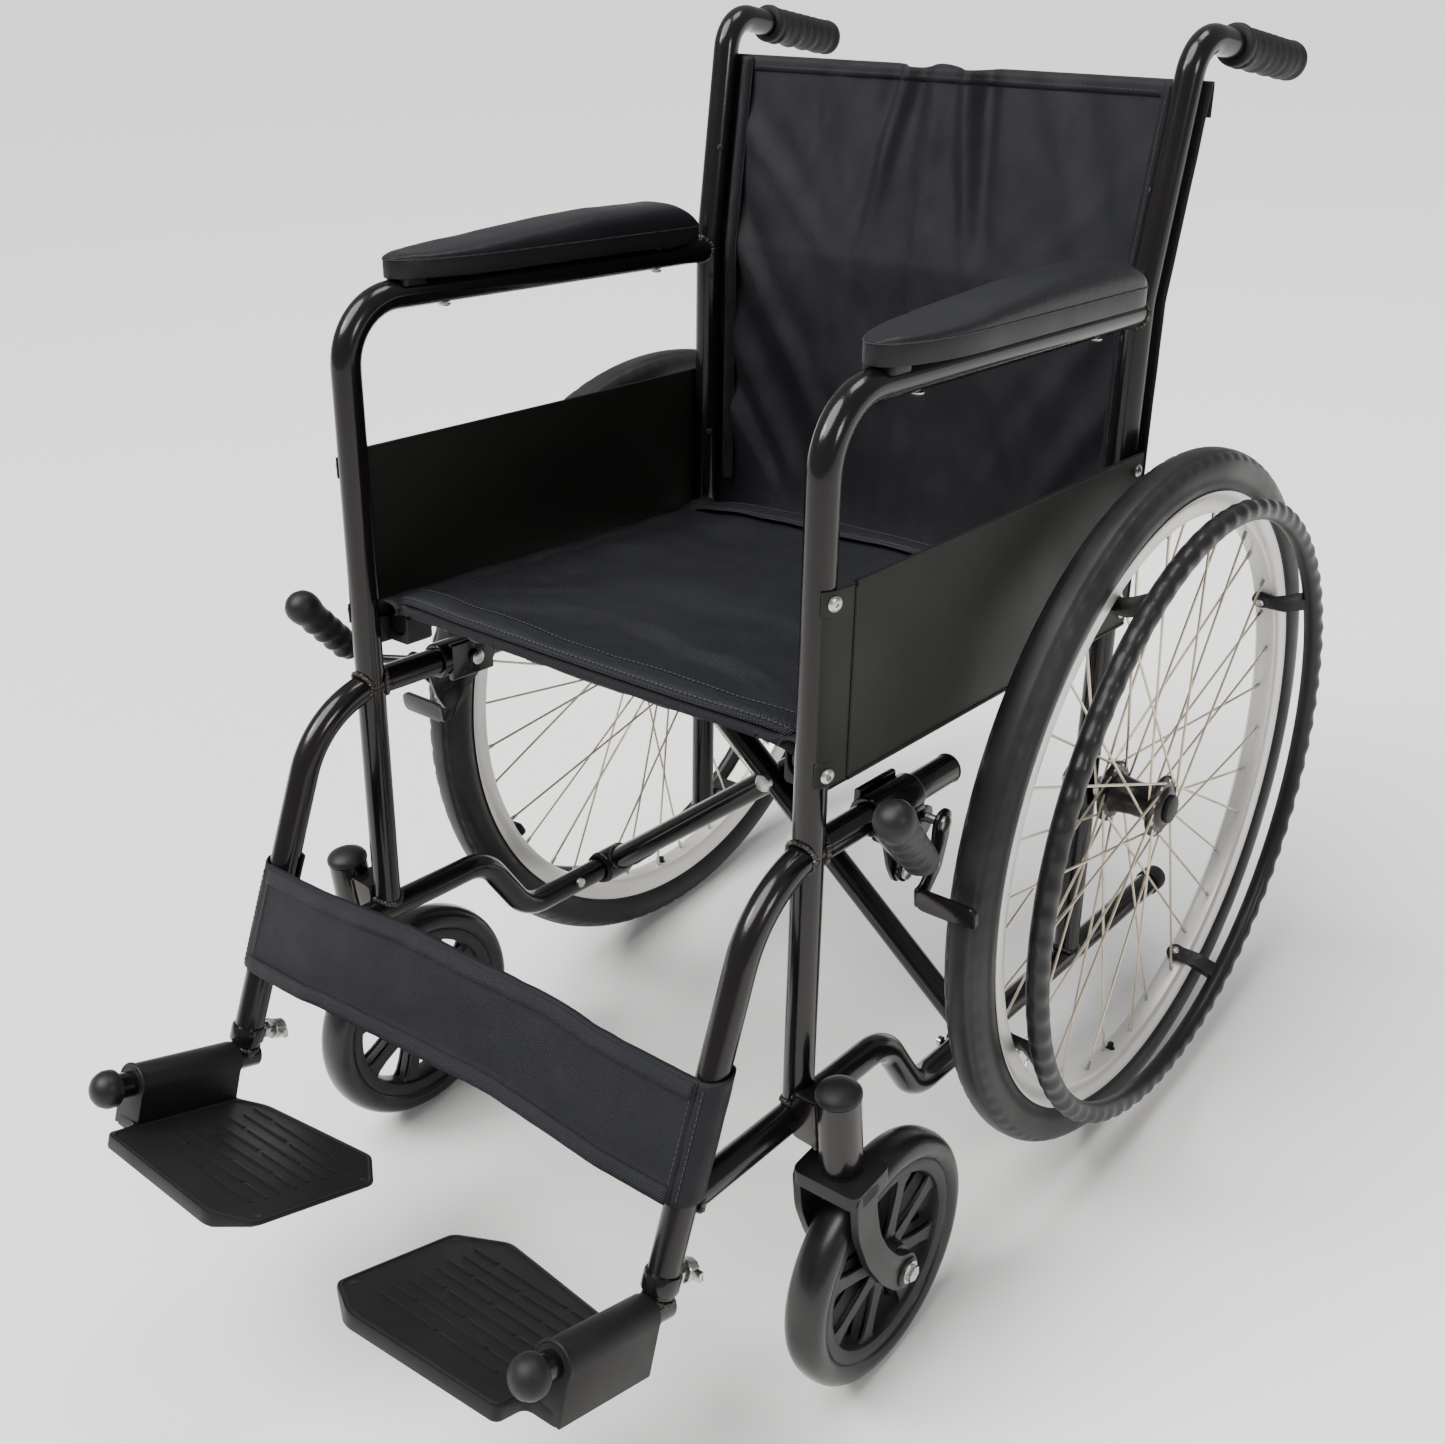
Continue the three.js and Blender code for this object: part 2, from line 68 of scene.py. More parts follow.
def LOC(x, u, w):
    c, s = math.cos(PITCH), math.sin(PITCH)
    return WLD(x, AXY + (u - AXY) * c + (w - AXZ) * s, AXZ - (u - AXY) * s + (w - AXZ) * c)


def smooth01(t):
    t = min(1.0, max(0.0, t))
    return t * t * (3 - 2 * t)


def nz(x, y, z=0.0):
    return noise.noise(Vector((x, y, z)))


# ------------------------------------------------------------------ materials
def node_mat(name, base, rough, metal=0.0, coat=0.0, coat_rough=0.1, tint=None, tint_scale=6.0, tint_amt=0.5,
             grain=0.0, grain_scale=400.0, rough_var=0.08, rough_scale=14.0, spec=0.5, sheen=0.0, aniso=0.0):
    m = bpy.data.materials.new(name)
    m.use_nodes = True
    nt = m.node_tree
    N, Lk = nt.nodes, nt.links
    b = N["Principled BSDF"]
    b.inputs["Metallic"].default_value = metal
    b.inputs["Specular IOR Level"].default_value = spec
    b.inputs["Coat Weight"].default_value = coat
    b.inputs["Coat Roughness"].default_value = coat_rough
    if sheen:
        b.inputs["Sheen Weight"].default_value = sheen
        b.inputs["Sheen Roughness"].default_value = 0.5
    tc = N.new("ShaderNodeTexCoord")
    n1 = N.new("ShaderNodeTexNoise")
    n1.inputs["Scale"].default_value = tint_scale
    n1.inputs["Detail"].default_value = 5
    n1.inputs["Roughness"].default_value = 0.6
    Lk.new(tc.outputs["Object"], n1.inputs["Vector"])
    ramp = N.new("ShaderNodeMapRange")
    ramp.inputs["From Min"].default_value = 0.35
    ramp.inputs["From Max"].default_value = 0.65
    ramp.inputs["To Max"].default_value = tint_amt
    Lk.new(n1.outputs["Fac"], ramp.inputs["Value"])
    mix = N.new("ShaderNodeMix")
    mix.data_type = "RGBA"
    mix.inputs["A"].default_value = (*base, 1)
    t = tint or tuple(min(1, c * 1.5 + 0.004) for c in base)
    mix.inputs["B"].default_value = (*t, 1)
    Lk.new(ramp.outputs["Result"], mix.inputs["Factor"])
    Lk.new(mix.outputs["Result"], b.inputs["Base Color"])
    n2 = N.new("ShaderNodeTexNoise")
    n2.inputs["Scale"].default_value = rough_scale
    n2.inputs["Detail"].default_value = 6
    Lk.new(tc.outputs["Object"], n2.inputs["Vector"])
    rr = N.new("ShaderNodeMapRange")
    rr.inputs["From Min"].default_value = 0.3
    rr.inputs["From Max"].default_value = 0.7
    rr.inputs["To Min"].default_value = max(0.02, rough - rough_var)
    rr.inputs["To Max"].default_value = min(1, rough + rough_var)
    Lk.new(n2.outputs["Fac"], rr.inputs["Value"])
    Lk.new(rr.outputs["Result"], b.inputs["Roughness"])
    if grain:
        n3 = N.new("ShaderNodeTexNoise")
        n3.inputs["Scale"].default_value = grain_scale
        n3.inputs["Detail"].default_value = 3
        Lk.new(tc.outputs["Object"], n3.inputs["Vector"])
        bp = N.new("ShaderNodeBump")
        bp.inputs["Strength"].default_value = grain
        bp.inputs["Distance"].default_value = 0.0006
        Lk.new(n3.outputs["Fac"], bp.inputs["Height"])
        Lk.new(bp.outputs["Normal"], b.inputs["Normal"])
    return m


def fabric_mat(name, base, tint, rough=0.50, thread=0.00085, axes=("X", "Z"), strength=0.35, sheen=0.02):
    m = node_mat(name, base, rough, tint=tint, tint_scale=9.0, tint_amt=0.55, sheen=sheen, rough_var=0.07, rough_scale=30, spec=0.20)
    nt = m.node_tree
    N, Lk = nt.nodes, nt.links
    b = N["Principled BSDF"]
    tc = N.new("ShaderNodeTexCoord")
    sep = N.new("ShaderNodeSeparateXYZ")
    Lk.new(tc.outputs["Object"], sep.inputs["Vector"])
    waves = []
    for ax in axes:
        mul = N.new("ShaderNodeMath"); mul.operation = "MULTIPLY"; mul.inputs[1].default_value = math.pi / thread
        Lk.new(sep.outputs[ax], mul.inputs[0])
        sn = N.new("ShaderNodeMath"); sn.operation = "SINE"
        Lk.new(mul.outputs[0], sn.inputs[0])
        waves.append(sn)
    pr = N.new("ShaderNodeMath"); pr.operation = "MULTIPLY"
    Lk.new(waves[0].outputs[0], pr.inputs[0]); Lk.new(waves[1].outputs[0], pr.inputs[1])
    n3 = N.new("ShaderNodeTexNoise"); n3.inputs["Scale"].default_value = 90; n3.inputs["Detail"].default_value = 4
    Lk.new(tc.outputs["Object"], n3.inputs["Vector"])
    ad = N.new("ShaderNodeMath"); ad.operation = "MULTIPLY_ADD"; ad.inputs[1].default_value = 2.2
    Lk.new(n3.outputs["Fac"], ad.inputs[0]); Lk.new(pr.outputs[0], ad.inputs[2])
    bp = N.new("ShaderNodeBump"); bp.inputs["Strength"].default_value = strength; bp.inputs["Distance"].default_value = 0.0007
    Lk.new(ad.outputs[0], bp.inputs["Height"]); Lk.new(bp.outputs["Normal"], b.inputs["Normal"])
    # painted highlight: the raised threads of the weave are lightened in the base colour, as if lit
    mixn = [n for n in N if n.type == "MIX"][0]
    mr = N.new("ShaderNodeMapRange"); mr.inputs["From Min"].default_value = -1; mr.inputs["To Min"].default_value = 0.0; mr.inputs["To Max"].default_value = 0.6
    Lk.new(pr.outputs[0], mr.inputs["Value"])
    m2 = N.new("ShaderNodeMix"); m2.data_type = "RGBA"; m2.blend_type = "MIX"
    Lk.new(mr.outputs["Result"], m2.inputs["Factor"])
    Lk.new(mixn.outputs["Result"], m2.inputs["A"])
    m2.inputs["B"].default_value = (*[min(1, c * 1.35) for c in base], 1)
    Lk.new(m2.outputs["Result"], b.inputs["Base Color"])
    return m


ENAMEL = node_mat("enamel_black", (0.0042, 0.0036, 0.0037), 0.20, coat=0.22, coat_rough=0.07, tint=(0.009, 0.0072, 0.007), tint_amt=0.6, grain=0.10, grain_scale=700, rough_var=0.05, spec=0.24)
WELD = node_mat("weld_bead", (0.085, 0.08, 0.075), 0.40, metal=0.8, tint=(0.02, 0.017, 0.015), tint_scale=120, tint_amt=0.9, grain=0.5, grain_scale=900, rough_var=0.12)
GRIP = node_mat("grip_rubber", (0.0085, 0.0085, 0.0088), 0.60, tint=(0.015, 0.015, 0.0155), grain=0.45, grain_scale=1500, spec=0.24)
PLASTIC = node_mat("satin_plastic", (0.0075, 0.0075, 0.0082), 0.44, tint=(0.013, 0.013, 0.0138), grain=0.22, grain_scale=1600, spec=0.25)
FORKP = node_mat("fork_plastic", (0.0065, 0.006, 0.006), 0.40, tint=(0.0105, 0.0098, 0.0096), grain=0.15, grain_scale=1500, spec=0.27)
GUARD = node_mat("guard_plastic", (0.0098, 0.0102, 0.0088), 0.52, tint=(0.0135, 0.0138, 0.0118), grain=0.35, grain_scale=1300, rough_var=0.05, spec=0.22)
FOOT = node_mat("footplate_plastic", (0.0078, 0.0074, 0.0074), 0.46, tint=(0.0125, 0.0118, 0.0116), tint_scale=18, grain=0.32, grain_scale=1200, spec=0.2)
WHEELP = node_mat("caster_plastic", (0.0135, 0.0142, 0.0165), 0.42, tint=(0.019, 0.02, 0.0225), grain=0.2, grain_scale=1300, spec=0.27)
VINYL = node_mat("pad_vinyl", (0.0078, 0.0082, 0.0102), 0.42, tint=(0.0135, 0.014, 0.0168), grain=0.55, grain_scale=520, rough_var=0.06, spec=0.25)
TYRE = node_mat("tyre_rubber", (0.0115, 0.0115, 0.012), 0.46, tint=(0.024, 0.024, 0.0245), tint_scale=22, grain=0.25, grain_scale=900, rough_var=0.1, spec=0.26)
TYRE_C = node_mat("caster_rubber", (0.0075, 0.0072, 0.0072), 0.26, tint=(0.015, 0.0145, 0.0142), tint_scale=30, grain=0.12, grain_scale=900, spec=0.36)
RIM = node_mat("rim_alloy", (0.70, 0.68, 0.655), 0.36, metal=0.55, tint=(0.80, 0.785, 0.765), grain=0.15, grain_scale=1400)
SPOKE = node_mat("spoke_steel", (0.56, 0.485, 0.365), 0.30, metal=0.9, tint=(0.66, 0.60, 0.50), tint_scale=60, rough_var=0.06)
ZINC = node_mat("zinc", (0.50, 0.50, 0.49), 0.28, metal=1.0, tint=(0.34, 0.33, 0.31), tint_scale=200, grain=0.2, grain_scale=1500)
HANDRIM = node_mat("handrim_coat", (0.0068, 0.0068, 0.0074), 0.42, coat=0.08, tint=(0.0118, 0.0118, 0.0125), grain=0.15, grain_scale=1300, spec=0.26)
HUB = node_mat("hub_black", (0.0052, 0.0050, 0.0052), 0.34, coat=0.15, tint=(0.0095, 0.009, 0.0092), grain=0.1, spec=0.3)
SLING_V = fabric_mat("sling_cloth", (0.0046, 0.0050, 0.0072), (0.0082, 0.0088, 0.0122), axes=("X", "Z"))
SLING_H = fabric_mat("seat_cloth", (0.0046, 0.0050, 0.0072), (0.0084, 0.0090, 0.0125), axes=("X", "Y"))
HEM = fabric_mat("hem_tape", (0.0072, 0.0078, 0.0108), (0.0112, 0.012, 0.0158), axes=("X", "Z"), thread=0.0011, strength=0.5)
THREAD = node_mat("thread", (0.022, 0.023, 0.028), 0.7, tint=(0.032, 0.033, 0.038), tint_scale=300, grain=0.4, grain_scale=2500)
PIPING = fabric_mat("piping", (0.020, 0.022, 0.028), (0.030, 0.032, 0.039), axes=("X", "Z"), thread=0.0009, strength=0.4)


# ------------------------------------------------------------------ mesh builders: each returns (vertices in mm, faces)
def fillet(points, radii, arc=12):
    P = [Vector(p) for p in points]
    out = [P[0]]
    for i in range(1, len(P) - 1):
        r = radii[i - 1] if isinstance(radii, (list, tuple)) else radii
        d0, d1 = (P[i] - P[i - 1]).normalized(), (P[i + 1] - P[i]).normalized()
        turn = d0.angle(d1)
        if turn < 0.02:
            out.append(P[i]); continue
        cut = r * math.tan(turn / 2)
        axis = d0.cross(d1).normalized()
        start = P[i] - d0 * cut
        centre = start + axis.cross(d0) * r
        for k in range(arc + 1):
            out.append(centre + (Matrix.Rotation(turn * k / arc, 3, axis) @ (start - centre)))
    out.append(P[-1])
    return out


def sweep(path, r, sides=32, caps=True, rfun=None, flatten=None):
    P = [Vector(p) for p in path]
    n = len(P)
    T = []
    for i in range(n):
        a = (P[i] - P[i - 1]).normalized() if i else None
        b = (P[i + 1] - P[i]).normalized() if i < n - 1 else None
        T.append(((a + b) if a and b else (a or b)).normalized())
    up = Vector((0, 0, 1)) if abs(T[0].z) < 0.9 else Vector((1, 0, 0))
    nrm = (up - T[0] * up.dot(T[0])).normalized()
    V, F = [], []
    length = 0.0
    for i in range(n):
        if i:
            q = T[i - 1].rotation_difference(T[i])
            nrm = (q @ nrm)
            nrm = (nrm - T[i] * nrm.dot(T[i])).normalized()
            length += (P[i] - P[i - 1]).length
        bn = T[i].cross(nrm)
        rr = rfun(length) if rfun else r
        for k in range(sides):
            a = 2 * math.pi * k / sides
            V.append(tuple(P[i] + nrm * (math.cos(a) * rr) + bn * (math.sin(a) * rr)))
    for i in range(n - 1):
        for k in range(sides):
            a, b = i * sides + k, i * sides + (k + 1) % sides
            F.append((a, b, b + sides, a + sides))
    if caps:
        F.append(tuple(reversed(range(sides))))
        F.append(tuple(range((n - 1) * sides, n * sides)))
    return V, F


def revolve(profile, p0, direction, sides=32):
    """profile of (distance along direction, radius); a radius of 0 closes an end"""
    p0, d = Vector(p0), Vector(direction).normalized()
    up = Vector((0, 0, 1)) if abs(d.z) < 0.9 else Vector((1, 0, 0))
    e1 = (up - d * up.dot(d)).normalized()
    e2 = d.cross(e1)
    V, F, rows = [], [], []
    for t, r in profile:
        c = p0 + d * t
        if r <= 1e-6:
            rows.append([len(V)] * sides); V.append(tuple(c))
        else:
            rows.append(list(range(len(V), len(V) + sides)))
            for k in range(sides):
                a = 2 * math.pi * k / sides
                V.append(tuple(c + e1 * (math.cos(a) * r) + e2 * (math.sin(a) * r)))
    for A, B in zip(rows, rows[1:]):
        for k in range(sides):
            q = [A[k], A[(k + 1) % sides], B[(k + 1) % sides], B[k]]
            q = list(dict.fromkeys(q))
            if len(q) > 2:
                F.append(tuple(q))
    if profile[0][1] > 1e-6 and len(set(rows[0])) > 1 and profile[0] != profile[-1]:
        F.append(tuple(reversed(rows[0])))
    if profile[-1][1] > 1e-6 and profile[0] != profile[-1]:
        F.append(tuple(rows[-1]))
    return V, F


def hoop(section, centre, segs=192, mod=None):
    """closed section of (radius, x) turned about the X axis through centre; mod(i, j, r, x, angle) may move a point"""
    c = Vector(centre)
    V, F, m = [], [], len(section)
    for i in range(segs):
        a = 2 * math.pi * i / segs
        for j, (r, x) in enumerate(section):
            if mod:
                r, x = mod(i, j, r, x, a)
            V.append((c.x + x, c.y + r * math.cos(a), c.z + r * math.sin(a)))
    for i in range(segs):
        n = (i + 1) % segs
        for j in range(m):
            k = (j + 1) % m
            F.append((i * m + j, i * m + k, n * m + k, n * m + j))
    return V, F


def prism(poly, a0, a1, plane="x"):
    """outline in (y, z) along x, in (x, z) along y, or in (x, y) along z"""
    def pt(p, a):
        return {"x": (a, p[0], p[1]), "y": (p[0], a, p[1]), "z": (p[0], p[1], a)}[plane]
    n = len(poly)
    V = [pt(p, a0) for p in poly] + [pt(p, a1) for p in poly]
    F = [tuple(reversed(range(n))), tuple(range(n, 2 * n))]
    F += [(i, (i + 1) % n, n + (i + 1) % n, n + i) for i in range(n)]
    return V, F


def boxy(x0, x1, y0, y1, z0, z1):
    return prism([(x0, y0), (x1, y0), (x1, y1), (x0, y1)], z0, z1, "z")


def join(*parts):
    V, F = [], []
    for v, f in parts:
        o = len(V)
        V += list(v)
        F += [tuple(i + o for i in q) for q in f]
    return V, F


def xf(vf, matrix):
    return [tuple(matrix @ Vector(v)) for v in vf[0]], vf[1]


def round_poly(pts, r, n=5):
    out, m = [], len(pts)
    for i in range(m):
        p, a, b = Vector(pts[i]), Vector(pts[i - 1]), Vector(pts[(i + 1) % m])
        da, db = (a - p), (b - p)
        rr = min(r, da.length * 0.45, db.length * 0.45)
        s, e = p + da.normalized() * rr, p + db.normalized() * rr
        for k in range(n + 1):
            t = k / n
            q = s * (1 - t) ** 2 + p * (2 * t * (1 - t)) + e * t ** 2
            out.append((q.x, q.y))
    return out


pieces = {}


def piece(name, vf, mat, body, slot, frame_of=LOC, s=1, replaces=(), bevel=0.0, seg=2, sharp=38, recalc=True, body_ride=True):
    V, F = vf
    me = bpy.data.meshes.new(name)
    me.from_pydata([tuple(frame_of(s * v[0], v[1], v[2])) for v in V], [], [tuple(reversed(f)) if s < 0 else f for f in F])
    bm = bmesh.new()
    bm.from_mesh(me)
    if recalc:
        bmesh.ops.recalc_face_normals(bm, faces=bm.faces)
    if bevel:
        es = [e for e in bm.edges if len(e.link_faces) == 2 and e.calc_face_angle(0) > math.radians(28)]
        bmesh.ops.bevel(bm, geom=es, offset=bevel / 1000, segments=seg, affect="EDGES", clamp_overlap=True, profile=0.6)
    bm.to_mesh(me)
    bm.free()
    for p in me.polygons:
        p.use_smooth = True
    me.set_sharp_from_angle(angle=math.radians(sharp))
    o = bpy.data.objects.new(name, me)
    bpy.context.scene.collection.objects.link(o)
    me.materials.append(mat)
    if body_ride:
        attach(o, body)
    if replaces:
        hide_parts(*replaces)
    pieces[name] = o
    return o


def bead(centre, axis, R, r=2.0, wob=0.55, a0=0.0, a1=360.0, squeeze=None):
    """a weld bead round a tube: a lumpy ring"""
    c, d = Vector(centre), Vector(axis).normalized()
    up = Vector((1, 0, 0)) if abs(d.x) < 0.9 else Vector((0, 0, 1))
    e1 = (up - d * up.dot(d)).normalized()
    e2 = d.cross(e1)
    n = max(8, int(abs(a1 - a0) / 5))
    full = abs(a1 - a0) >= 359
    V, F, m = [], [], 8
    cnt = n if full else n + 1
    for i in range(cnt):
        a = math.radians(a0 + (a1 - a0) * i / n)
        rad = e1 * math.cos(a) + e2 * math.sin(a)
        drop = squeeze(a) if squeeze else 0.0
        rr = r * (1 + wob * 0.45 * math.sin(i * 2.4) + wob * 0.5 * nz(i * 0.9, c.x * 0.01, c.z * 0.02))
        for k in range(m):
            b = 2 * math.pi * k / m
            V.append(tuple(c + rad * (R + math.cos(b) * rr) + d * (math.sin(b) * rr + drop)))
    for i in range(cnt if full else cnt - 1):
        j = (i + 1) % cnt
        for k in range(m):
            l = (k + 1) % m
            F.append((i * m + k, i * m + l, j * m + l, j * m + k))
    return V, F


def stitches(path, step=4.2, length=2.9, r=0.42, lift=0.0):
    """a row of short thread loops along a path of points"""
    P = [Vector(p) for p in path]
    seg = [(P[i + 1] - P[i]).length for i in range(len(P) - 1)]
    total = sum(seg)

    def at(t):
        for i, l in enumerate(seg):
            if t <= l or i == len(seg) - 1:
                return P[i].lerp(P[i + 1], min(1, t / max(l, 1e-6)))
            t -= l
    parts = []
    t = step * 0.5
    while t + length < total:
        a, b = at(t), at(t + length)
        mid = (a + b) / 2
        parts.append(sweep([a, mid + Vector((0, 0, 0)), b], r, sides=5, rfun=None))
        t += step
    return join(*parts) if parts else ([], [])


def screw_head(p, d, r=5.0, h=2.6, kind="pan"):
    body = revolve([(0, r), (h * 0.35, r), (h * 0.75, r * 0.82), (h, r * 0.45), (h, r * 0.3), (h * 0.55, r * 0.26), (h * 0.55, 0)], p, d, 20)
    return body


def hexagon(p, d, r, h):
    return revolve([(0, r * 0.96), (0.4, r), (h - 0.5, r), (h, r * 0.9), (h, 0)], p, d, 6)


TUBE, SX = 11.1, 218.0
POST_U, BACK_U, ARM_W, HANG_W = -164.0, 247.0, 706.0, 405.0
RW0, RW1 = 200.0, 130.0
SEAT_X, SEAT_W, PIVW = 200.0, 458.0, 301.0
CX, CY, TRAIL = 257.6, -177.0, 39.0


def leg_u(w):
    return -252.5 + (w - 297.5) * 0.347 / 0.938


def leg(w, x=SX):
    return (x, leg_u(w), w)


LEGD = Vector((0, -0.347, -0.938)).normalized()
EN = "frame_enamel"


# ------------------------------------------------------------------ one side of the chair, drawn at +X
def post_x(w):
    return 218.0 if w < 718 else 218.0 + 6.0 * min(1.0, (w - 718) / 192.4)


def post_u(w):
    return BACK_U if w < 718 else BACK_U + 32.0 * (w - 718) / 192.4


def build_side(p, s):
    q = "left_" if s < 0 else "right_"
    fr = q + "frame"

    def P(name, vf, mat, body=fr, slot=EN, **k):
        return piece(p + name, vf, mat, body, slot, s=s, **k)

    # ---- front post and arm tube
    arm_rear = BACK_U - TUBE + 2
    P("post_arm_tube", sweep(fillet([(SX, POST_U, RW0 + TUBE - 3), (SX, POST_U, ARM_W - 3), (SX, arm_rear, ARM_W + 6)], [50], 18), TUBE, 36), ENAMEL, replaces=[p + "post_arm"])
    # saddles for the seat tube
    def saddle(u0, u1):
        outer = round_poly([(185.5, 442), (215.8, 442), (215.8, 463.5), (212.2, 465), (211.6, 459)], 2.0, 3)
        arcp = [(SEAT_X + 12 * math.cos(math.radians(a)), SEAT_W + 12 * math.sin(math.radians(a))) for a in range(0, -181, -15)]
        poly = [(185.5, 463), (185.5, 444), (188, 441.5), (213.5, 441.5), (215.8, 444), (215.8, 464), (212.2, 465)] + arcp + [(187.8, 465)]
        return prism(poly, u0, u1, "y")
    P("front_saddle", join(saddle(-150, -126)), PLASTIC, slot="black_plastic", bevel=0.8)
    P("front_saddle_web", join(boxy(208, 215.6, -158, -149, 443, 462)), PLASTIC, slot="black_plastic", bevel=0.8)
    P("rear_saddle", join(saddle(204, 228), boxy(208, 215.6, 227, 240, 443, 462)), PLASTIC, slot="black_plastic", bevel=0.8)
    # ---- back post and push handle
    P("back_post_tube", sweep(fillet([(SX, BACK_U, RW1 + TUBE - 3), (SX, BACK_U, 718), (224, 279, 910.4), (234.2, 432, 896.1)], [60, 32], 16), TUBE, 36), ENAMEL, replaces=[p + "back_post"])
    # grip: flared collar, finger waves below, rounded end
    g0, g1 = Vector((228, 337, 905)), Vector((235, 444, 895))
    gd = (g1 - g0).normalized()
    prof = [(0, 11.6), (0, 14.6), (1.0, 15.8), (4.5, 16.2), (7, 15.8), (9.5, 15.0)]
    for k in range(0, 89):
        prof.append((11 + k, 14.6 + 0.35 * math.sin(k * 0.5)))
    prof += [(101.5, 15.6), (105, 15.2), (107.6, 13), (108.6, 9), (109, 0)]
    V, F = revolve(prof, g0, gd, 48)
    out = []
    down = Vector((0, 0, -1)); down = (down - gd * down.dot(gd)).normalized()
    for v in V:
        v = Vector(v)
        t = (v - g0).dot(gd)
        rad = v - g0 - gd * t
        if rad.length > 12 and 11 < t < 101:
            below = smooth01((rad.normalized().dot(down) - 0.15) / 0.7)
            rad = rad * (1 + below * 0.13 * (0.5 + 0.5 * math.cos((t - 14) / 23.5 * 2 * math.pi)) - below * 0.02)
            ridge = 1 - below
            rad = rad * (1 + 0.012 * ridge * math.copysign(1, math.sin(t * 1.6)))
        out.append(tuple(g0 + gd * t + rad))
    P("grip", (out, F), GRIP, slot="grip_rubber", replaces=[p + "push_grip"], sharp=60)

    # ---- hanger tube, brake stub with its plug
    corner = (SX, -252.5 + (HANG_W - 297.5) * 0.347 / 0.938, HANG_W)
    P("hanger", sweep(fillet([(SX, -150, HANG_W), corner, leg(141.6)], [84], 20), TUBE, 36), ENAMEL, replaces=[p + "hanger_tube"])
    P("stub", revolve([(0, TUBE), (170.4, TUBE)], (SX, POST_U + 1, HANG_W), (0, 1, 0), 36), ENAMEL, replaces=[p + "brake_stub"])
    P("stub_plug", revolve([(0, 11.0), (0.2, 11.5), (1.6, 11.6), (2.6, 10.6), (3.0, 8), (3.1, 0)], (SX, 6.2, HANG_W), (0, 1, 0), 28), PLASTIC, slot="black_plastic")
    # clamp collar and weld at the hanger's foot
    P("leg_collar", revolve([(0, 11.2), (0, 12.6), (1, 13), (11, 13), (12, 12.6), (12, 11.2)], leg(156), tuple(LEGD), 36), ENAMEL)
    # ---- lower rail
    P("rail", sweep(fillet([(SX, -279, RW0), (SX, -57, RW0), (SX, -8, RW1), (SX, 421, RW1)], [42, 42], 14), TUBE, 36), ENAMEL, replaces=[p + "lower_rail"])
    tipp = [(0, 11.2), (0, 12.3), (1, 12.7), (17, 12.5), (20, 11.6), (21.4, 9), (21.8, 0)]
    P("tip", revolve(tipp, (SX, 420, RW1), (0, 1, 0), 36), GRIP, slot="grip_rubber", replaces=[p + "tip_cap"])
    # ---- weld beads
    P("welds", join(
        bead((SX, POST_U, RW0 + 10.5), (0, 0, 1), 11.4, 1.9, squeeze=lambda a: -4.6 * math.cos(a) ** 2 + 1.5),
        bead((SX, POST_U + 10.2, HANG_W), (0, 1, 0), 11.3, 1.9, squeeze=lambda a: -4.4 * math.cos(a) ** 2 + 1.5),
        bead((SX, POST_U - 10.2, HANG_W), (0, 1, 0), 11.3, 1.9, squeeze=lambda a: 4.4 * math.cos(a) ** 2 - 1.5),
        bead((SX, BACK_U - 10.2, ARM_W + 6), (0, 1, 0), 11.3, 1.9, squeeze=lambda a: 4.4 * math.cos(a) ** 2 - 1.5),
        bead((SX, BACK_U, RW1 + 10.5), (0, 0, 1), 11.4, 1.8, squeeze=lambda a: -4.6 * math.cos(a) ** 2 + 1.5),
        bead((SX, leg_u(RW0) + 11.3, RW0), (0, 1, 0), 11.4, 1.9, squeeze=lambda a: -3.5 * math.cos(a) ** 2 + 1.0)), WELD, slot="zinc_hardware")

    # ---- caster housing (square to the ground)
    hp = [(0, 7.2), (0, 14.8), (1, 15.75), (61, 15.75), (61.6, 14.9), (61.8, 9)]
    cap = [(61.4, 9), (61.4, 15.4), (62.2, 16.5), (64.8, 16.5), (67.4, 14.9), (70.2, 10.4), (71.8, 5.2), (72.2, 0)]
    P("housing_cap", revolve(cap, (CX, CY, 225), (0, 0, 1), 48), PLASTIC, frame_of=WLD, slot="black_plastic")
    P("housing", join(revolve(hp, (CX, CY, 225), (0, 0, 1), 40)), ENAMEL, frame_of=WLD, replaces=[p + "caster_housing"])
    P("housing_lug", prism(round_poly([(222, 238), (246, 236), (246, 279), (222, 277)], 4), CY - 9, CY + 12, "y"), ENAMEL, frame_of=WLD, bevel=1.5)
    P("housing_weld", join(sweep([(243, CY - 9.5, 238), (243, CY - 9.5, 277)], 1.9, 8, rfun=lambda t: 1.7 + 0.6 * math.sin(t * 1.1)),
                           sweep([(243.5, CY + 12.2, 238), (243.5, CY + 12.2, 277)], 1.9, 8, rfun=lambda t: 1.7 + 0.6 * math.sin(t * 1.1))), WELD, frame_of=WLD, slot="zinc_hardware")

    # ---- skirt guard: moulded panel with a turned lip, flange and screws
    gp = round_poly([(-143, 456), (257.5, 455), (257.5, 600.5), (60, 594), (-143, 589)], 4, 5)
    P("guard", prism(gp, 229.7, 232.0, "x"), GUARD, slot="guard_plastic", bevel=0.7, replaces=[p + "skirt_guard"])
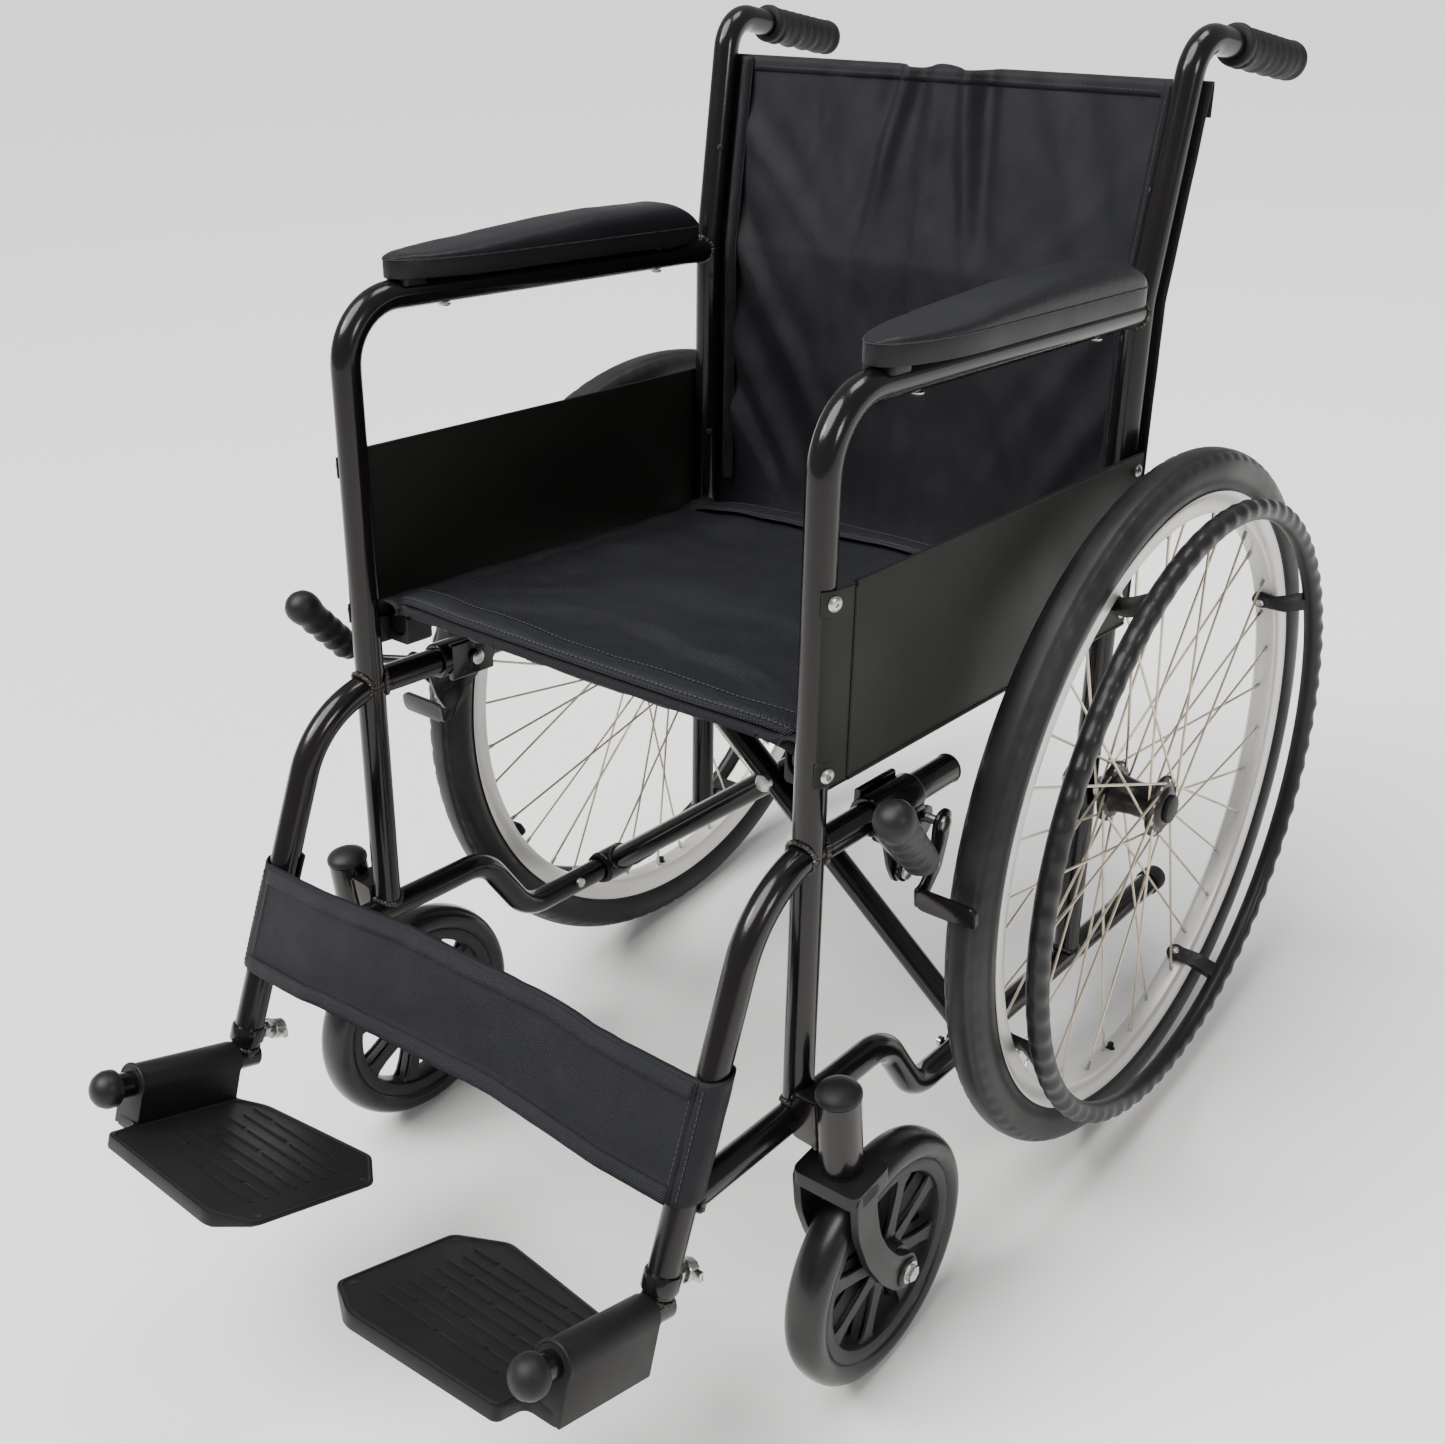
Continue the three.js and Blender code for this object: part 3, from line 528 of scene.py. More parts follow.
    # front edge turned in round the post, with a tab at each screw
    V, F = [], []
    sect = [(230.9, -146), (230.6, -150), (229.9, -156), (229.7, -163), (228.6, -169.4), (226.4, -173.6)]
    zs = [457, 459, 472, 474, 520, 571, 573, 586, 588.6]
    for kz, z in enumerate(zs):
        for kx, (x, u) in enumerate(sect):
            tab = z <= 472 or z >= 573
            if kx >= 3 and not tab:
                x, u = x - 0.9, u + 2.6
            V.append((x, u, z))
    for a in range(len(zs) - 1):
        for b in range(len(sect) - 1):
            F.append((a * 6 + b, a * 6 + b + 1, a * 6 + b + 7, a * 6 + b + 6))
    fl = P("guard_flange", (V, F), GUARD, slot="guard_plastic")
    md = fl.modifiers.new("t", "SOLIDIFY"); md.thickness = 0.0016; md.offset = 1.0 if s > 0 else -1.0
    md2 = fl.modifiers.new("b", "BEVEL"); md2.width = 0.0005; md2.segments = 2
    P("guard_bend", sweep([(231.6, -143.4, 458), (231.6, -143.4, 587)], 1.5, 12), GUARD, slot="guard_plastic")
    P("guard_top_edge", sweep(fillet([(231, -143, 589.4), (231, 60, 594.4), (231, 255, 600.4)], [300], 6), 1.5, 12), GUARD, slot="guard_plastic")
    P("guard_low_edge", sweep([(231.6, -143, 456.2), (231.6, 255, 455.6)], 1.7, 12), GUARD, slot="guard_plastic")
    P("guard_screws", join(screw_head((231.2, -165.5, 465), (0.94, -0.34, 0), 5.2), screw_head((231.2, -165.5, 580.5), (0.94, -0.34, 0), 5.2),
                           screw_head((232.0, 247, 467), (1, 0, 0), 5.0), screw_head((232.0, 247, 588), (1, 0, 0), 5.0)), ZINC, slot="zinc_hardware")

    # ---- arm pad
    slope = math.atan2(7.7, 337)
    def on_arm(t, h):      # along the pad from its front, height above the tube
        return -122 + t * math.cos(slope), 715.6 + t * math.sin(slope) + h
    # moulded tray: plan narrows to a round nose in front, rounded corners behind
    def half_width(t, w0=27.0):
        nose = max(0.0, 1 - t / 96.0)
        tail = max(0.0, 1 - (336 - t) / 26.0)
        return w0 * max(0.02, (1 - 0.62 * nose ** 2.3) * (1 - nose ** 14) ** 0.5) * (1 - 0.42 * tail ** 2.6)
    ts = [0.6, 1.5, 3, 5, 8, 12, 17, 23, 30, 40, 52, 66, 82, 96] + list(range(110, 310, 12)) + [312, 318, 324, 329, 333, 336]
    plan = [(SX + half_width(t), t) for t in ts] + [(SX - half_width(t), t) for t in reversed(ts)]
    Vb, Fb = prism(plan, 0, 13.6, "z")
    P("pad_base", ([(v[0], *on_arm(v[1], v[2] + 0.2)) for v in Vb], Fb), PLASTIC, slot="black_plastic", bevel=0.9, replaces=[p + "arm_pad_base"])
    P("pad_cleats", join(*[([(v[0], *on_arm(v[1], v[2])) for v in V0], F0) for V0, F0 in
        (prism(round_poly([(206, t0), (230, t0), (230, t0 + 22), (206, t0 + 22)], 4), -5, 1.5, "z") for t0 in (8, 288))]), PLASTIC, slot="black_plastic", bevel=0.8)
    P("pad_screws", join(*[screw_head((SX, u, ARM_W - TUBE - 2.4 + (u + 114) * 0.0226), (0, 0, -1), 5.0) for u in (-68, 175)]), ZINC, slot="zinc_hardware")
    # upholstered pad: fullest behind the middle, falling away to the nose
    nu, nv = 84, 30
    V, F = [], []
    for i in range(nu + 1):
        f = 0.5 - 0.5 * math.cos(math.pi * i / nu)
        t = 1.5 + f * 333.0
        hw = half_width(t, 26.6)
        rise_ = min(1.0, (t / 150.0)) ** 0.55 if t > 0 else 0
        crown_h = (4.0 + 16.5 * (smooth01(t / 250.0) ** 0.8)) * (1 - max(0.0, 1 - t / 16.0) ** 2 * 0.9)
        crown_h *= max(0.05, 1 - max(0.0, 1 - (335 - t) / 44.0) ** 2.2)
        for j in range(nv):
            a = 2 * math.pi * j / nv
            ca, sa = math.cos(a), math.sin(a)
            x = hw * math.copysign(abs(ca) ** 0.55, ca)
            if sa >= 0:
                h = crown_h * sa ** 0.72
                h += 0.7 * nz(f * 9, x * 0.03, 3.1 + s) * sa
                h -= 0.7 * sa * smooth01(nz(t * 0.03, x * 0.05, 7.7) * 1.4)
                # small gathers at the seam
                h += 0.35 * math.sin(t * 0.42 + 2 * nz(t * 0.05, 3)) * (1 - sa) * (1 if sa > 0.02 else 0)
            else:
                h = -0.6 * (-sa) ** 0.3
            V.append((SX + x, *on_arm(t, 14.0 + h)))
    for i in range(nu):
        for j in range(nv):
            F.append((i * nv + j, i * nv + (j + 1) % nv, (i + 1) * nv + (j + 1) % nv, (i + 1) * nv + j))
    F.append(tuple(reversed(range(nv)))); F.append(tuple(range(nu * nv, (nu + 1) * nv)))
    pad = P("arm_pad_cover", (V, F), VINYL, slot="pad_vinyl", replaces=[p + "arm_pad"], sharp=75)
    sub = pad.modifiers.new("round", "SUBSURF"); sub.levels = 1; sub.render_levels = 1
    seam = [(x, *on_arm(t, 13.9)) for x, t in plan]
    P("pad_seam", sweep(seam + seam[:1], 0.55, 8, caps=False), PIPING, slot="pad_vinyl")

    # ---- thumb screw on the leg
    kd = Vector((0, 0.938, -0.347))
    k0 = Vector(leg(150))
    head = revolve([(0, 0), (0, 7.4), (1.2, 8.2), (9, 8.2), (10.5, 7.2), (11, 0)], k0 + kd * 21, kd, 12)
    P("thumb_screw_fine", join(revolve([(0, 0), (0, 3), (14, 3), (14, 0)], k0 + kd * 9, kd, 16), hexagon(k0 + kd * (TUBE + 1.6), kd, 7, 5),
                               head, boxy(SX - 12.5, SX + 12.5, k0.y + kd.y * 27 - 2, k0.y + kd.y * 27 + 2, k0.z + kd.z * 27 - 3.6, k0.z + kd.z * 27 + 3.6)), ZINC, slot="zinc_hardware", bevel=0.4, replaces=[p + "thumb_screw"])

    # ---- brake bracket: split sleeve with a bolt, lugs and pivot pins
    ring = [(0, 11.3), (0, 14.0), (1.4, 14.8), (52.6, 14.8), (54, 14.0), (54, 11.3), (0, 11.3)]
    cl = revolve(ring, (SX, -98, HANG_W), (0, 1, 0), 40)
    ear = join(prism(round_poly([(-96, 392), (-88, 366), (-79, 351), (-68, 352), (-34, 381), (-35, 396), (-46, 399), (-94, 399)], 5, 4), 230.0, 233.4, "x"),
               prism(round_poly([(222, 388), (233.4, 388), (233.4, 402), (222, 402)], 3), -96, -46, "y"),
               prism(round_poly([(203, 389), (208.5, 389), (208.5, 421), (203, 421)], 2.4), -92, -48, "y"))
    P("brake_clamp", join(cl, ear), ENAMEL, slot=EN, bevel=0.7, replaces=[p + "brake_bracket"])
    P("brake_pins", join(revolve([(0, 0), (0, 5.2), (1.2, 6.2), (4, 6.2), (5.5, 4.6), (6, 0)], (202.6, -68, 405), (-1, 0, 0), 20),
                         revolve([(0, 3.6), (17.6, 3.6), (17.6, 6.4), (19.6, 6.4), (20.8, 4.2), (21, 0)], (230.6, -42.4, 389), (1, 0, 0), 20),
                         revolve([(0, 3.6), (9, 3.6), (9, 6.6), (11, 6.4), (12, 4.2), (12.2, 0)], (230.6, -75, 362), (1, 0, 0), 20)), ZINC, slot="zinc_hardware")
    # lever
    lv0, lvd = Vector((285, -127, 406)), Vector((0.038, -0.672, 0.740)).normalized()
    barp = round_poly([(-82, 368), (-84, 358), (-75, 351.6), (-66, 356), (-64, 366), (-84, 392), (-104, 412), (-115, 405), (-96, 384)], 5, 4)
    P("lever_bar", join(prism(barp, 234.8, 238.8, "x"), sweep(fillet([(236.9, -105, 403), (284.5, -118, 396), tuple(lv0 + lvd * 10)], [8], 6), 3.9, 16)), ENAMEL, body=q + "brake_lever", bevel=0.7, replaces=[p + "brake_lever"])
    prof = [(0, 4.2), (0, 8.8), (1.2, 10.2), (3, 10.8)]
    for k in range(0, 48):
        prof.append((4 + k, 10.4 + 0.6 * (0.5 - 0.5 * math.cos(k / 11.0 * 2 * math.pi)) + k * 0.022))
    prof += [(54, 11.9), (58, 13.2), (63, 14.0), (68, 13.8), (72.5, 12.0), (76, 8.6), (78, 4.4), (78.5, 0)]
    V, F = revolve(prof, lv0, lvd, 40)
    out = []
    for v in V:
        v = Vector(v)
        t = (v - lv0).dot(lvd)
        rad = v - lv0 - lvd * t
        # finger waves along the underside
        if 5 < t < 54 and rad.length > 6:
            low = smooth01((rad.normalized().dot(Vector((0, -0.74, -0.67))) - 0.1) / 0.8)
            rad = rad * (1 + low * 0.20 * (0.5 + 0.5 * math.cos((t - 10) / 12.5 * 2 * math.pi)))
        out.append(tuple(lv0 + lvd * t + rad))
    P("lever_grip", (out, F), PLASTIC, body=q + "brake_lever", slot="black_plastic", replaces=[p + "brake_grip"], sharp=60)
    # shoe
    strap = prism(round_poly([(-41, 428), (-35, 434.5), (-25, 434.5), (-19, 428), (-22, 412), (-33, 388), (-54, 370.2), (-65, 370.2), (-65, 387), (-59, 387), (-46, 397)], 4, 4), 244.8, 247.8, "x")
    padb = prism(round_poly([(246, 370), (296, 370), (296, 387), (246, 387)], 7, 5), -65, -60.6, "y")
    P("shoe", join(strap, padb), ENAMEL, body=q + "brake_shoe", frame_of=WLD, bevel=0.8, replaces=[p + "brake_shoe"])
    P("shoe_rivet", join(revolve([(0, 0), (0, 5), (1.4, 4.8), (2.6, 3.2), (3, 0)], (247.6, -42, 395), (1, 0, 0), 18)), ZINC, body=q + "brake_shoe", slot="zinc_hardware", frame_of=WLD)

    # ---- footrest
    rise = math.radians(16)
    hd = Vector((0, -math.cos(rise), math.sin(rise)))
    hb = Vector((218.3, -314, 131))
    ext = revolve([(0, 9.3), (170, 9.3)], leg(131), tuple(-LEGD), 32)
    hinge = revolve([(-12, 0), (-12, 8), (-11, 9.6), (110.6, 9.6), (111, 9.2), (111, 0)], tuple(hb), tuple(hd), 32)
    knob = revolve([(108.2, 9.7), (108.2, 12.4), (109.4, 13.6), (111, 14.2), (115.5, 14.2), (117.5, 13.6), (121.2, 11.6), (124, 8.2), (125.8, 4.0), (126.3, 0)], tuple(hb), tuple(hd), 40)
    P("footrest_knob", knob, PLASTIC, body=q + "footrest", slot="black_plastic")
    P("extension", join(ext, hinge), ENAMEL, body=q + "footrest", replaces=[p + "footrest_extension"])
    P("hinge_weld", bead(tuple(hb + Vector((0, -0.347, -0.938)) * -9.2), tuple(LEGD), 9.8, 1.7, squeeze=lambda a: 2.6 * math.cos(a) ** 2 - 1.0), WELD, body=q + "footrest", slot="zinc_hardware")
    P("hinge_washer", revolve([(0, 9.7), (0, 13.0), (1.4, 13.0), (1.4, 9.7)], tuple(hb + hd * 9), tuple(hd), 28), PLASTIC, body=q + "footrest", slot="black_plastic")
    turn = Matrix.Translation(hb) @ Matrix.Rotation(-rise, 4, "X")
    outline = [(-176, -9), (-143, 16.5), (-36, 2), (-14, -11), (14, -11), (14, -95), (-13, -96), (-13.7, -119.8), (-144.5, -126.4), (-176, -110)]
    Vp, Fp = prism(round_poly(outline, 6, 5), -37, -26.8, "z")
    # the free edge is drawn up from below
    Vp = [(x, y, z + (8.0 * smooth01((-x - 157) / 19) if z < -30 else 0)) for x, y, z in Vp]
    grooves = []
    for k in range(8):
        y = -97 + k * 12.2
        segs = ((-152, -128), (-124, -62), (-58, -36)) if k % 2 else ((-150, -96), (-92, -40))
        for a, b in segs:
            grooves.append(prism(round_poly([(a, y), (b, y), (b, y + 2.6), (a, y + 2.6)], 1.2, 3), -27.0, -26.15, "z"))
    rp = round_poly([(-173.6, -11), (-142, 13.6), (-37, -1), (-17, -13.6), (-17, -117.6), (-143.6, -123.6), (-173.6, -108.4)], 6, 5)
    edge = sweep([(a, b, -27.2) for a, b in rp] + [(rp[0][0], rp[0][1], -27.2)], 1.2, 8, caps=False)
    top = [(14 * math.cos(math.radians(a)), 14 * math.sin(math.radians(a))) for a in range(0, 181, 10)]
    top = [(14.4 * math.cos(math.radians(a)), 14.3 * math.sin(math.radians(a))) for a in range(0, 181, 10)]
    barrel = prism([(14.4, -36.8)] + top + [(-14.4, -28)], -95.2, -10.8, "y")
    P("footplate_body", join(xf((Vp, Fp), turn), xf(barrel, turn)), FOOT, body=q + "footplate", slot="footplate_plastic", bevel=1.3, replaces=[p + "footplate"])
    P("footplate_ribs", xf(join(*grooves), turn), FOOT, body=q + "footplate", slot="footplate_plastic", bevel=0.3)
    P("footplate_edge", xf(edge, turn), FOOT, body=q + "footplate", slot="footplate_plastic")
    cuff = sweep([(14.2 * math.cos(math.radians(a)), -94.2, 14.2 * math.sin(math.radians(a))) for a in range(-14, 195, 8)], 1.5, 10)
    P("footplate_cuff", xf(cuff, turn), FOOT, body=q + "footplate", slot="footplate_plastic")
    holes = join(*[revolve([(0, 0), (0, 2.6), (0.35, 2.6), (0.35, 0)], (-168, y, -26.9), (0, 0, 1), 18) for y in (-13, -102)])
    P("footplate_plugs", xf(holes, turn), TYRE, body=q + "footplate", slot="black_plastic")

    # ---- caster (square to the ground)
    wy = CY + TRAIL
    shape = round_poly([(-197.4, 220.6), (-170, 220.6), (-174.5, 200), (-171, 168), (-161, 143), (-146, 121), (-128, 111), (-124.5, 98), (-130, 87), (-141, 85), (-153, 92), (-170, 114), (-187, 148), (-197, 184)], 9, 5)
    outer = prism(shape, CX + 21.6, CX + 28.2, "x")
    innr = prism(shape, CX - 28.2, CX - 21.6, "x")
    crown = prism(round_poly([(CX - 28.2, -199), (CX + 28.2, -199), (CX + 28.2, -156), (CX - 28.2, -156)], 8, 5), 209.5, 222, "z")
    neck = revolve([(0, 15.4), (2.4, 15.4), (2.6, 12), (3.0, 12)], (CX, CY, 221.9), (0, 0, 1), 32)
    P("fork", join(outer, innr, crown, neck, revolve([(0, 6), (50, 6)], (CX, CY, 222), (0, 0, 1), 24)), FORKP, body=q + "caster_fork", slot="black_plastic", frame_of=WLD, bevel=2.4, seg=4, replaces=[p + "caster_fork"])
    rib = []
    for sx in (1, -1):
        rib.append(revolve([(0, 12.4), (1.6, 12.2), (2.2, 11.0), (2.2, 0)], (CX + sx * 27.9, wy, 98.5), (sx, 0, 0), 32))
    P("fork_ribs", join(*rib), FORKP, body=q + "caster_fork", slot="black_plastic", frame_of=WLD, bevel=0.7)
    P("caster_bolt", join(revolve([(0, 0), (0, 9), (1.2, 9), (1.2, 0)], (CX + 30.2, wy, 100), (1, 0, 0), 28), hexagon((CX + 31.2, wy, 100), (1, 0, 0), 6.6, 4.2),
                          revolve([(0, 0), (0, 9), (1.2, 9), (1.2, 0)], (CX - 30.2, wy, 100), (-1, 0, 0), 28), hexagon((CX - 31.2, wy, 100), (-1, 0, 0), 6.6, 4.6),
                          revolve([(-30, 4), (30, 4)], (CX, wy, 100), (1, 0, 0), 20)), ZINC, body=q + "caster_fork", slot="zinc_hardware", frame_of=WLD, replaces=[p + "caster_axle"])
    sec = []
    for k in range(36):
        a = math.radians(-150 + 300 * k / 35)
        sec.append((88.6 + 11.4 * math.cos(a), 16.4 * math.copysign(abs(math.sin(a)) ** 0.85, math.sin(a))))
    P("caster_tyre_fine", hoop(sec, (CX, wy, 100), 128), TYRE_C, body=q + "caster_wheel", slot="tyre_rubber", frame_of=WLD, replaces=[p + "caster_tyre"], sharp=60)
    rimc = [(69.4, -8.6), (70.6, -11.2), (74, -12.8), (79, -13.4), (80.6, -12.6), (80.6, 12.6), (79, 13.4), (74, 12.8), (70.6, 11.2), (69.4, 8.6), (69.0, 3), (69.0, -3)]
    hubc = [(5.2, -19.5), (13.5, -19.5), (15.6, -18.4), (17.5, -8), (17.5, 8), (15.6, 18.4), (13.5, 19.5), (5.2, 19.5)]
    blades = []
    for k in range(8):
        r = Matrix.Translation(Vector((CX, wy, 100))) @ Matrix.Rotation(k * math.pi / 4 + math.pi / 8, 4, "X")
        # web with a raised rib on each face, spread at both ends
        blades.append(xf(prism([(-3.6, 15), (3.6, 15), (3.6, 70), (-3.6, 70)], -5.4, 5.4, "y"), r))
        for sx in (1, -1):
            web = [(-8.6, 14.5), (-6.2, 22), (-5.2, 34), (-5.2, 54), (-6.4, 64), (-9.5, 70.2), (9.5, 70.2), (6.4, 64), (5.2, 54), (5.2, 34), (6.2, 22), (8.6, 14.5)]
            Vw, Fw = prism(web, 0, 2.2, "z")
            blades.append(xf(([(sx * (6.2 + v[2]) - (0 if sx > 0 else 0), v[0], v[1]) for v in Vw], Fw), r))
    P("caster_wheel_fine", join(hoop(rimc, (CX, wy, 100), 96), hoop(hubc, (CX, wy, 100), 48), *blades), WHEELP, body=q + "caster_wheel", slot="wheel_plastic", frame_of=WLD, bevel=0.0, replaces=[p + "caster_wheel"])
    # ---- rear wheel
    wc = (275, AXY, AXZ)
    sec = []
    for k in range(48):
        a = math.radians(-141 + 282 * k / 47)
        sec.append((287.2 + 17.8 * math.cos(a), 18.2 * math.copysign(abs(math.sin(a)) ** 0.86, math.sin(a)), a))
    sec2 = [(r, x) for r, x, a in sec] + [(268.4, 12.2), (267, 10), (267, -10), (268.4, -12.2)]
    angs = [a for _, _, a in sec] + [9, 9, 9, 9]

    def tread(i, j, r, x, ang):
        a = abs(angs[j])
        if a > 4:
            return r, x
        d = 0.0
        if 0.16 < a < 0.26:
            d = 0.9
        if 0.42 < a < 0.50:
            d = 0.9
        if 0.50 <= a < 0.98 and i % 4 in (0,):
            d = 1.1
        if a >= 1.10 and a < 1.16:
            d = -0.35
        return r - d * math.cos(angs[j]), x - d * math.sin(angs[j])
    P("tyre", hoop(sec2, wc, 360, tread), TYRE, body=q + "rear_wheel", slot="tyre_rubber", frame_of=WLD, replaces=[p + "rear_tyre"], sharp=50)
    rimp = [(252.2, -6), (252.8, -8.5), (256, -11.0), (262, -12.2), (266, -12.6), (270.4, -13.4), (271.6, -12.9), (271.2, -11.8), (268, -10.6), (267, -9),
            (267, 9), (268, 10.6), (271.2, 11.8), (271.6, 12.9), (270.4, 13.4), (266, 12.6), (262, 12.2), (256, 11.0), (252.8, 8.5), (252.2, 6), (251.8, 0)]
    P("rim", hoop(rimp, wc, 192), RIM, body=q + "rear_wheel", slot="rim_metal", frame_of=WLD, replaces=[p + "rear_rim"])
    hubp = [(0, 6.8), (0, 15), (1.5, 17.5), (2.5, 26), (3.4, 27.4), (6.2, 27.4), (7.4, 26), (9, 19), (14, 16.6), (26, 15.2), (38, 15.4), (44, 17.5), (47.5, 26), (48.8, 27.4), (51.6, 27.4), (52.6, 26), (53.6, 18.5), (56.4, 16.2), (57.5, 13), (57.5, 6.8), (0, 6.8)]
    P("hub", revolve(hubp, (239, AXY, AXZ), (1, 0, 0), 48), HUB, body=q + "rear_wheel", slot="handrim_coating", frame_of=WLD, replaces=[p + "hub_spokes"])
    sp, nip = [], []
    def on(r, ang, x):
        return Vector((275 + x, AXY + r * math.cos(math.radians(ang)), AXZ + r * math.sin(math.radians(ang))))
    for j in range(9):
        for flange, tr in ((-31, 0), (15, 10)):
            for d in (1, -1):
                hole = tr + 40 * j + (20 if d < 0 else 0)
                a, b = on(23.6, hole, flange + d * 2.6), on(254, hole + 60 * d, math.copysign(2.4, flange))
                dirn = (b - a).normalized()
                sp.append(sweep([on(23.6, hole, flange - d * 2.2), a, a + dirn * 3, b], 1.15, 8))
                sp.append(revolve([(0, 0), (0, 1.9), (0.9, 1.7), (1.2, 0)], on(23.6, hole, flange - d * 2.1), (-d, 0, 0), 10))
                nip.append(revolve([(0, 1.05), (0.3, 1.75), (9.5, 2.0), (11.5, 2.6), (13, 2.6)], b - dirn * 10.5, dirn, 10))
    P("spokes", join(*sp), SPOKE, body=q + "rear_wheel", slot="spoke_metal", frame_of=WLD)
    P("nipples", join(*nip), ZINC, body=q + "rear_wheel", slot="zinc_hardware", frame_of=WLD)
    va = on(252.4, 262, 0)
    P("valve", join(revolve([(-0.6, 4.6), (0.3, 4.6), (0.6, 4.0), (0.6, 2.9), (5.5, 2.9), (6, 2.6), (6.2, 0)], va, (Vector((275, AXY, AXZ)) - va), 16)), PLASTIC, body=q + "rear_wheel", slot="black_plastic", frame_of=WLD)
    # handrim with shallow finger waves
    hs = [(263 + 9.0 * math.cos(2 * math.pi * k / 20), 43.5 + 9.0 * math.sin(2 * math.pi * k / 20)) for k in range(20)]
    def waves(i, j, r, x, ang):
        dr, dx = r - 263, x - 43.5
        # finger waves on the outer edge of the hoop and the face turned outward
        out_ = smooth01((dr * 0.80 + dx * 0.60) / 9.0 * 0.9 + 0.30)
        g = 1 - 0.165 * out_ * (0.5 + 0.5 * math.cos(ang * 76)) ** 0.9
        return 263 + dr * g, 43.5 + dx * g
    P("handrim_fine", hoop(hs, wc, 912, waves), HANDRIM, body=q + "rear_wheel", slot="handrim_coating", frame_of=WLD, replaces=[p + "handrim"], sharp=60)
    br, bolts = [], []
    for k in range(4):
        r = Matrix.Translation(Vector(wc)) @ Matrix.Rotation(math.radians(90 * k + 24 - 90), 4, "X")
        body = prism([(-5, 246.2), (-6, 249.6), (-3, 251.2), (13, 251.6), (22, 256), (34, 263.5), (41, 265), (42, 256.5), (33, 252), (22, 246.6)], -7.2, 7.2, "y")
        foot = revolve([(0, 8.4), (1.4, 8.6), (4.2, 8.6), (5.6, 7.6), (5.6, 0)], (-1, 0, 251.4), (0, 0, -1), 28)
        br.append(xf(join(body, foot), r))
        bolts.append(xf(revolve([(0, 4.4), (1.4, 4.2), (2.4, 2.8), (2.6, 0)], (-1, 0, 245.9), (0, 0, -1), 16), r))
    P("handrim_brackets", join(*br), HANDRIM, body=q + "rear_wheel", slot="handrim_coating", frame_of=WLD, bevel=0.7)
    P("handrim_bolts", join(*bolts), ZINC, body=q + "rear_wheel", slot="zinc_hardware", frame_of=WLD)
    # axle
    P("axle", join(revolve([(0, 5.6), (99, 5.6)], (199, AXY, AXZ), (1, 0, 0), 24), hexagon((198.3, AXY, AXZ), (1, 0, 0), 9.6, 7.4),
                   revolve([(0, 9.6), (8.4, 9.6)], (229.9, AXY, AXZ), (1, 0, 0), 28)), ZINC, slot="zinc_hardware", frame_of=WLD, replaces=[p + "rear_axle"])
    P("axle_cap", revolve([(0, 12.4), (1.6, 12.8), (3.4, 12), (4.6, 9), (4.9, 0)], (297.1, AXY, AXZ), (1, 0, 0), 36), PLASTIC, slot="black_plastic", frame_of=WLD)
    # small locating pin under the rail
    P("rail_pin", revolve([(0, 0), (0, 4.4), (3.4, 4.4), (4, 0)], (207.4, 52, 135), (-1, 0, 0), 16), ZINC, slot="zinc_hardware")


build_side("l_", -1)
build_side("r_", 1)


# ------------------------------------------------------------------ scissor brace
def build_brace(name, u, s):
    low, up = Vector((-s * SX, u, RW1)), Vector((s * SEAT_X, u, SEAT_W))
    d = (up - low).normalized()
    bar = sweep([low + d * 13, up], TUBE, 36)
    sleeve = revolve([(0, 12), (0, 15), (0.8, 15.7), (29.2, 15.7), (30, 15), (30, 12), (0, 12)], (-s * SX, u - 15, RW1), (0, 1, 0), 40)
    seat = revolve([(0, 0), (0.5, 10), (1.6, TUBE), (371.5, TUBE), (372.6, 10), (373, 0)], (s * SEAT_X, -148, SEAT_W), (0, 1, 0), 36)
    piece(name + "_fine", join(bar, sleeve, seat), ENAMEL, name, EN, replaces=[name])
    piece(name + "_bushes", join(revolve([(0, 12.1), (0, 14.6), (2.4, 14.6), (2.4, 12.1), (0, 12.1)], (-s * SX, u - 17.6, RW1), (0, 1, 0), 36),
                                 revolve([(0, 12.1), (0, 14.6), (2.4, 14.6), (2.4, 12.1), (0, 12.1)], (-s * SX, u + 15.2, RW1), (0, 1, 0), 36)), PLASTIC, name, "black_plastic")
    piece(name + "_welds", join(bead(low + d * 15.4, d, 11.4, 1.9, squeeze=lambda a: 1.6 * math.cos(a) ** 2 - 0.8), bead(up - d * 11.0, d, 11.4, 1.9, squeeze=lambda a: 2.6 * math.cos(a) ** 2 - 1)), WELD, name, "zinc_hardware")


build_brace("brace_a", 107, 1)
build_brace("brace_b", 83, -1)
piece("pivot_fine", join(revolve([(0, 0), (0, 3.5), (0.8, 7.6), (4.4, 8.6), (5.2, 8.6), (5.2, 0)], (0, 66.2, PIVW), (0, 1, 0), 28), revolve([(5, 4), (58, 4), (58, 0)], (0, 66.2, PIVW), (0, 1, 0), 20),
                         hexagon((0, 118.6, PIVW), (0, 1, 0), 8.2, 6.4)), ZINC, "brace_a", "zinc_hardware", replaces=["pivot_bolt"])


# ------------------------------------------------------------------ fabric
def grid_sheet(name, rows, mat, body, slot, thick=1.8, closed=False, frame_of=LOC, replaces=(), sharp=70, ride=True, close_across=False, offset=0.0):
    """rows of points (mm) make one sheet; it is given a thickness"""
    m = len(rows[0])
    V = [tuple(pt) for row in rows for pt in row]
    F = []
    for i in range(len(rows) - 1):
        for j in range(m if close_across else m - 1):
            k = (j + 1) % m
            F.append((i * m + j, i * m + k, (i + 1) * m + k, (i + 1) * m + j))
    o = piece(name, (V, F), mat, body, slot, frame_of=frame_of, replaces=replaces, sharp=sharp, recalc=False, body_ride=ride)
    if thick:
        md = o.modifiers.new("thick", "SOLIDIFY")
        md.thickness = thick / 1000
        md.offset = offset
        md.use_rim = True
    return o


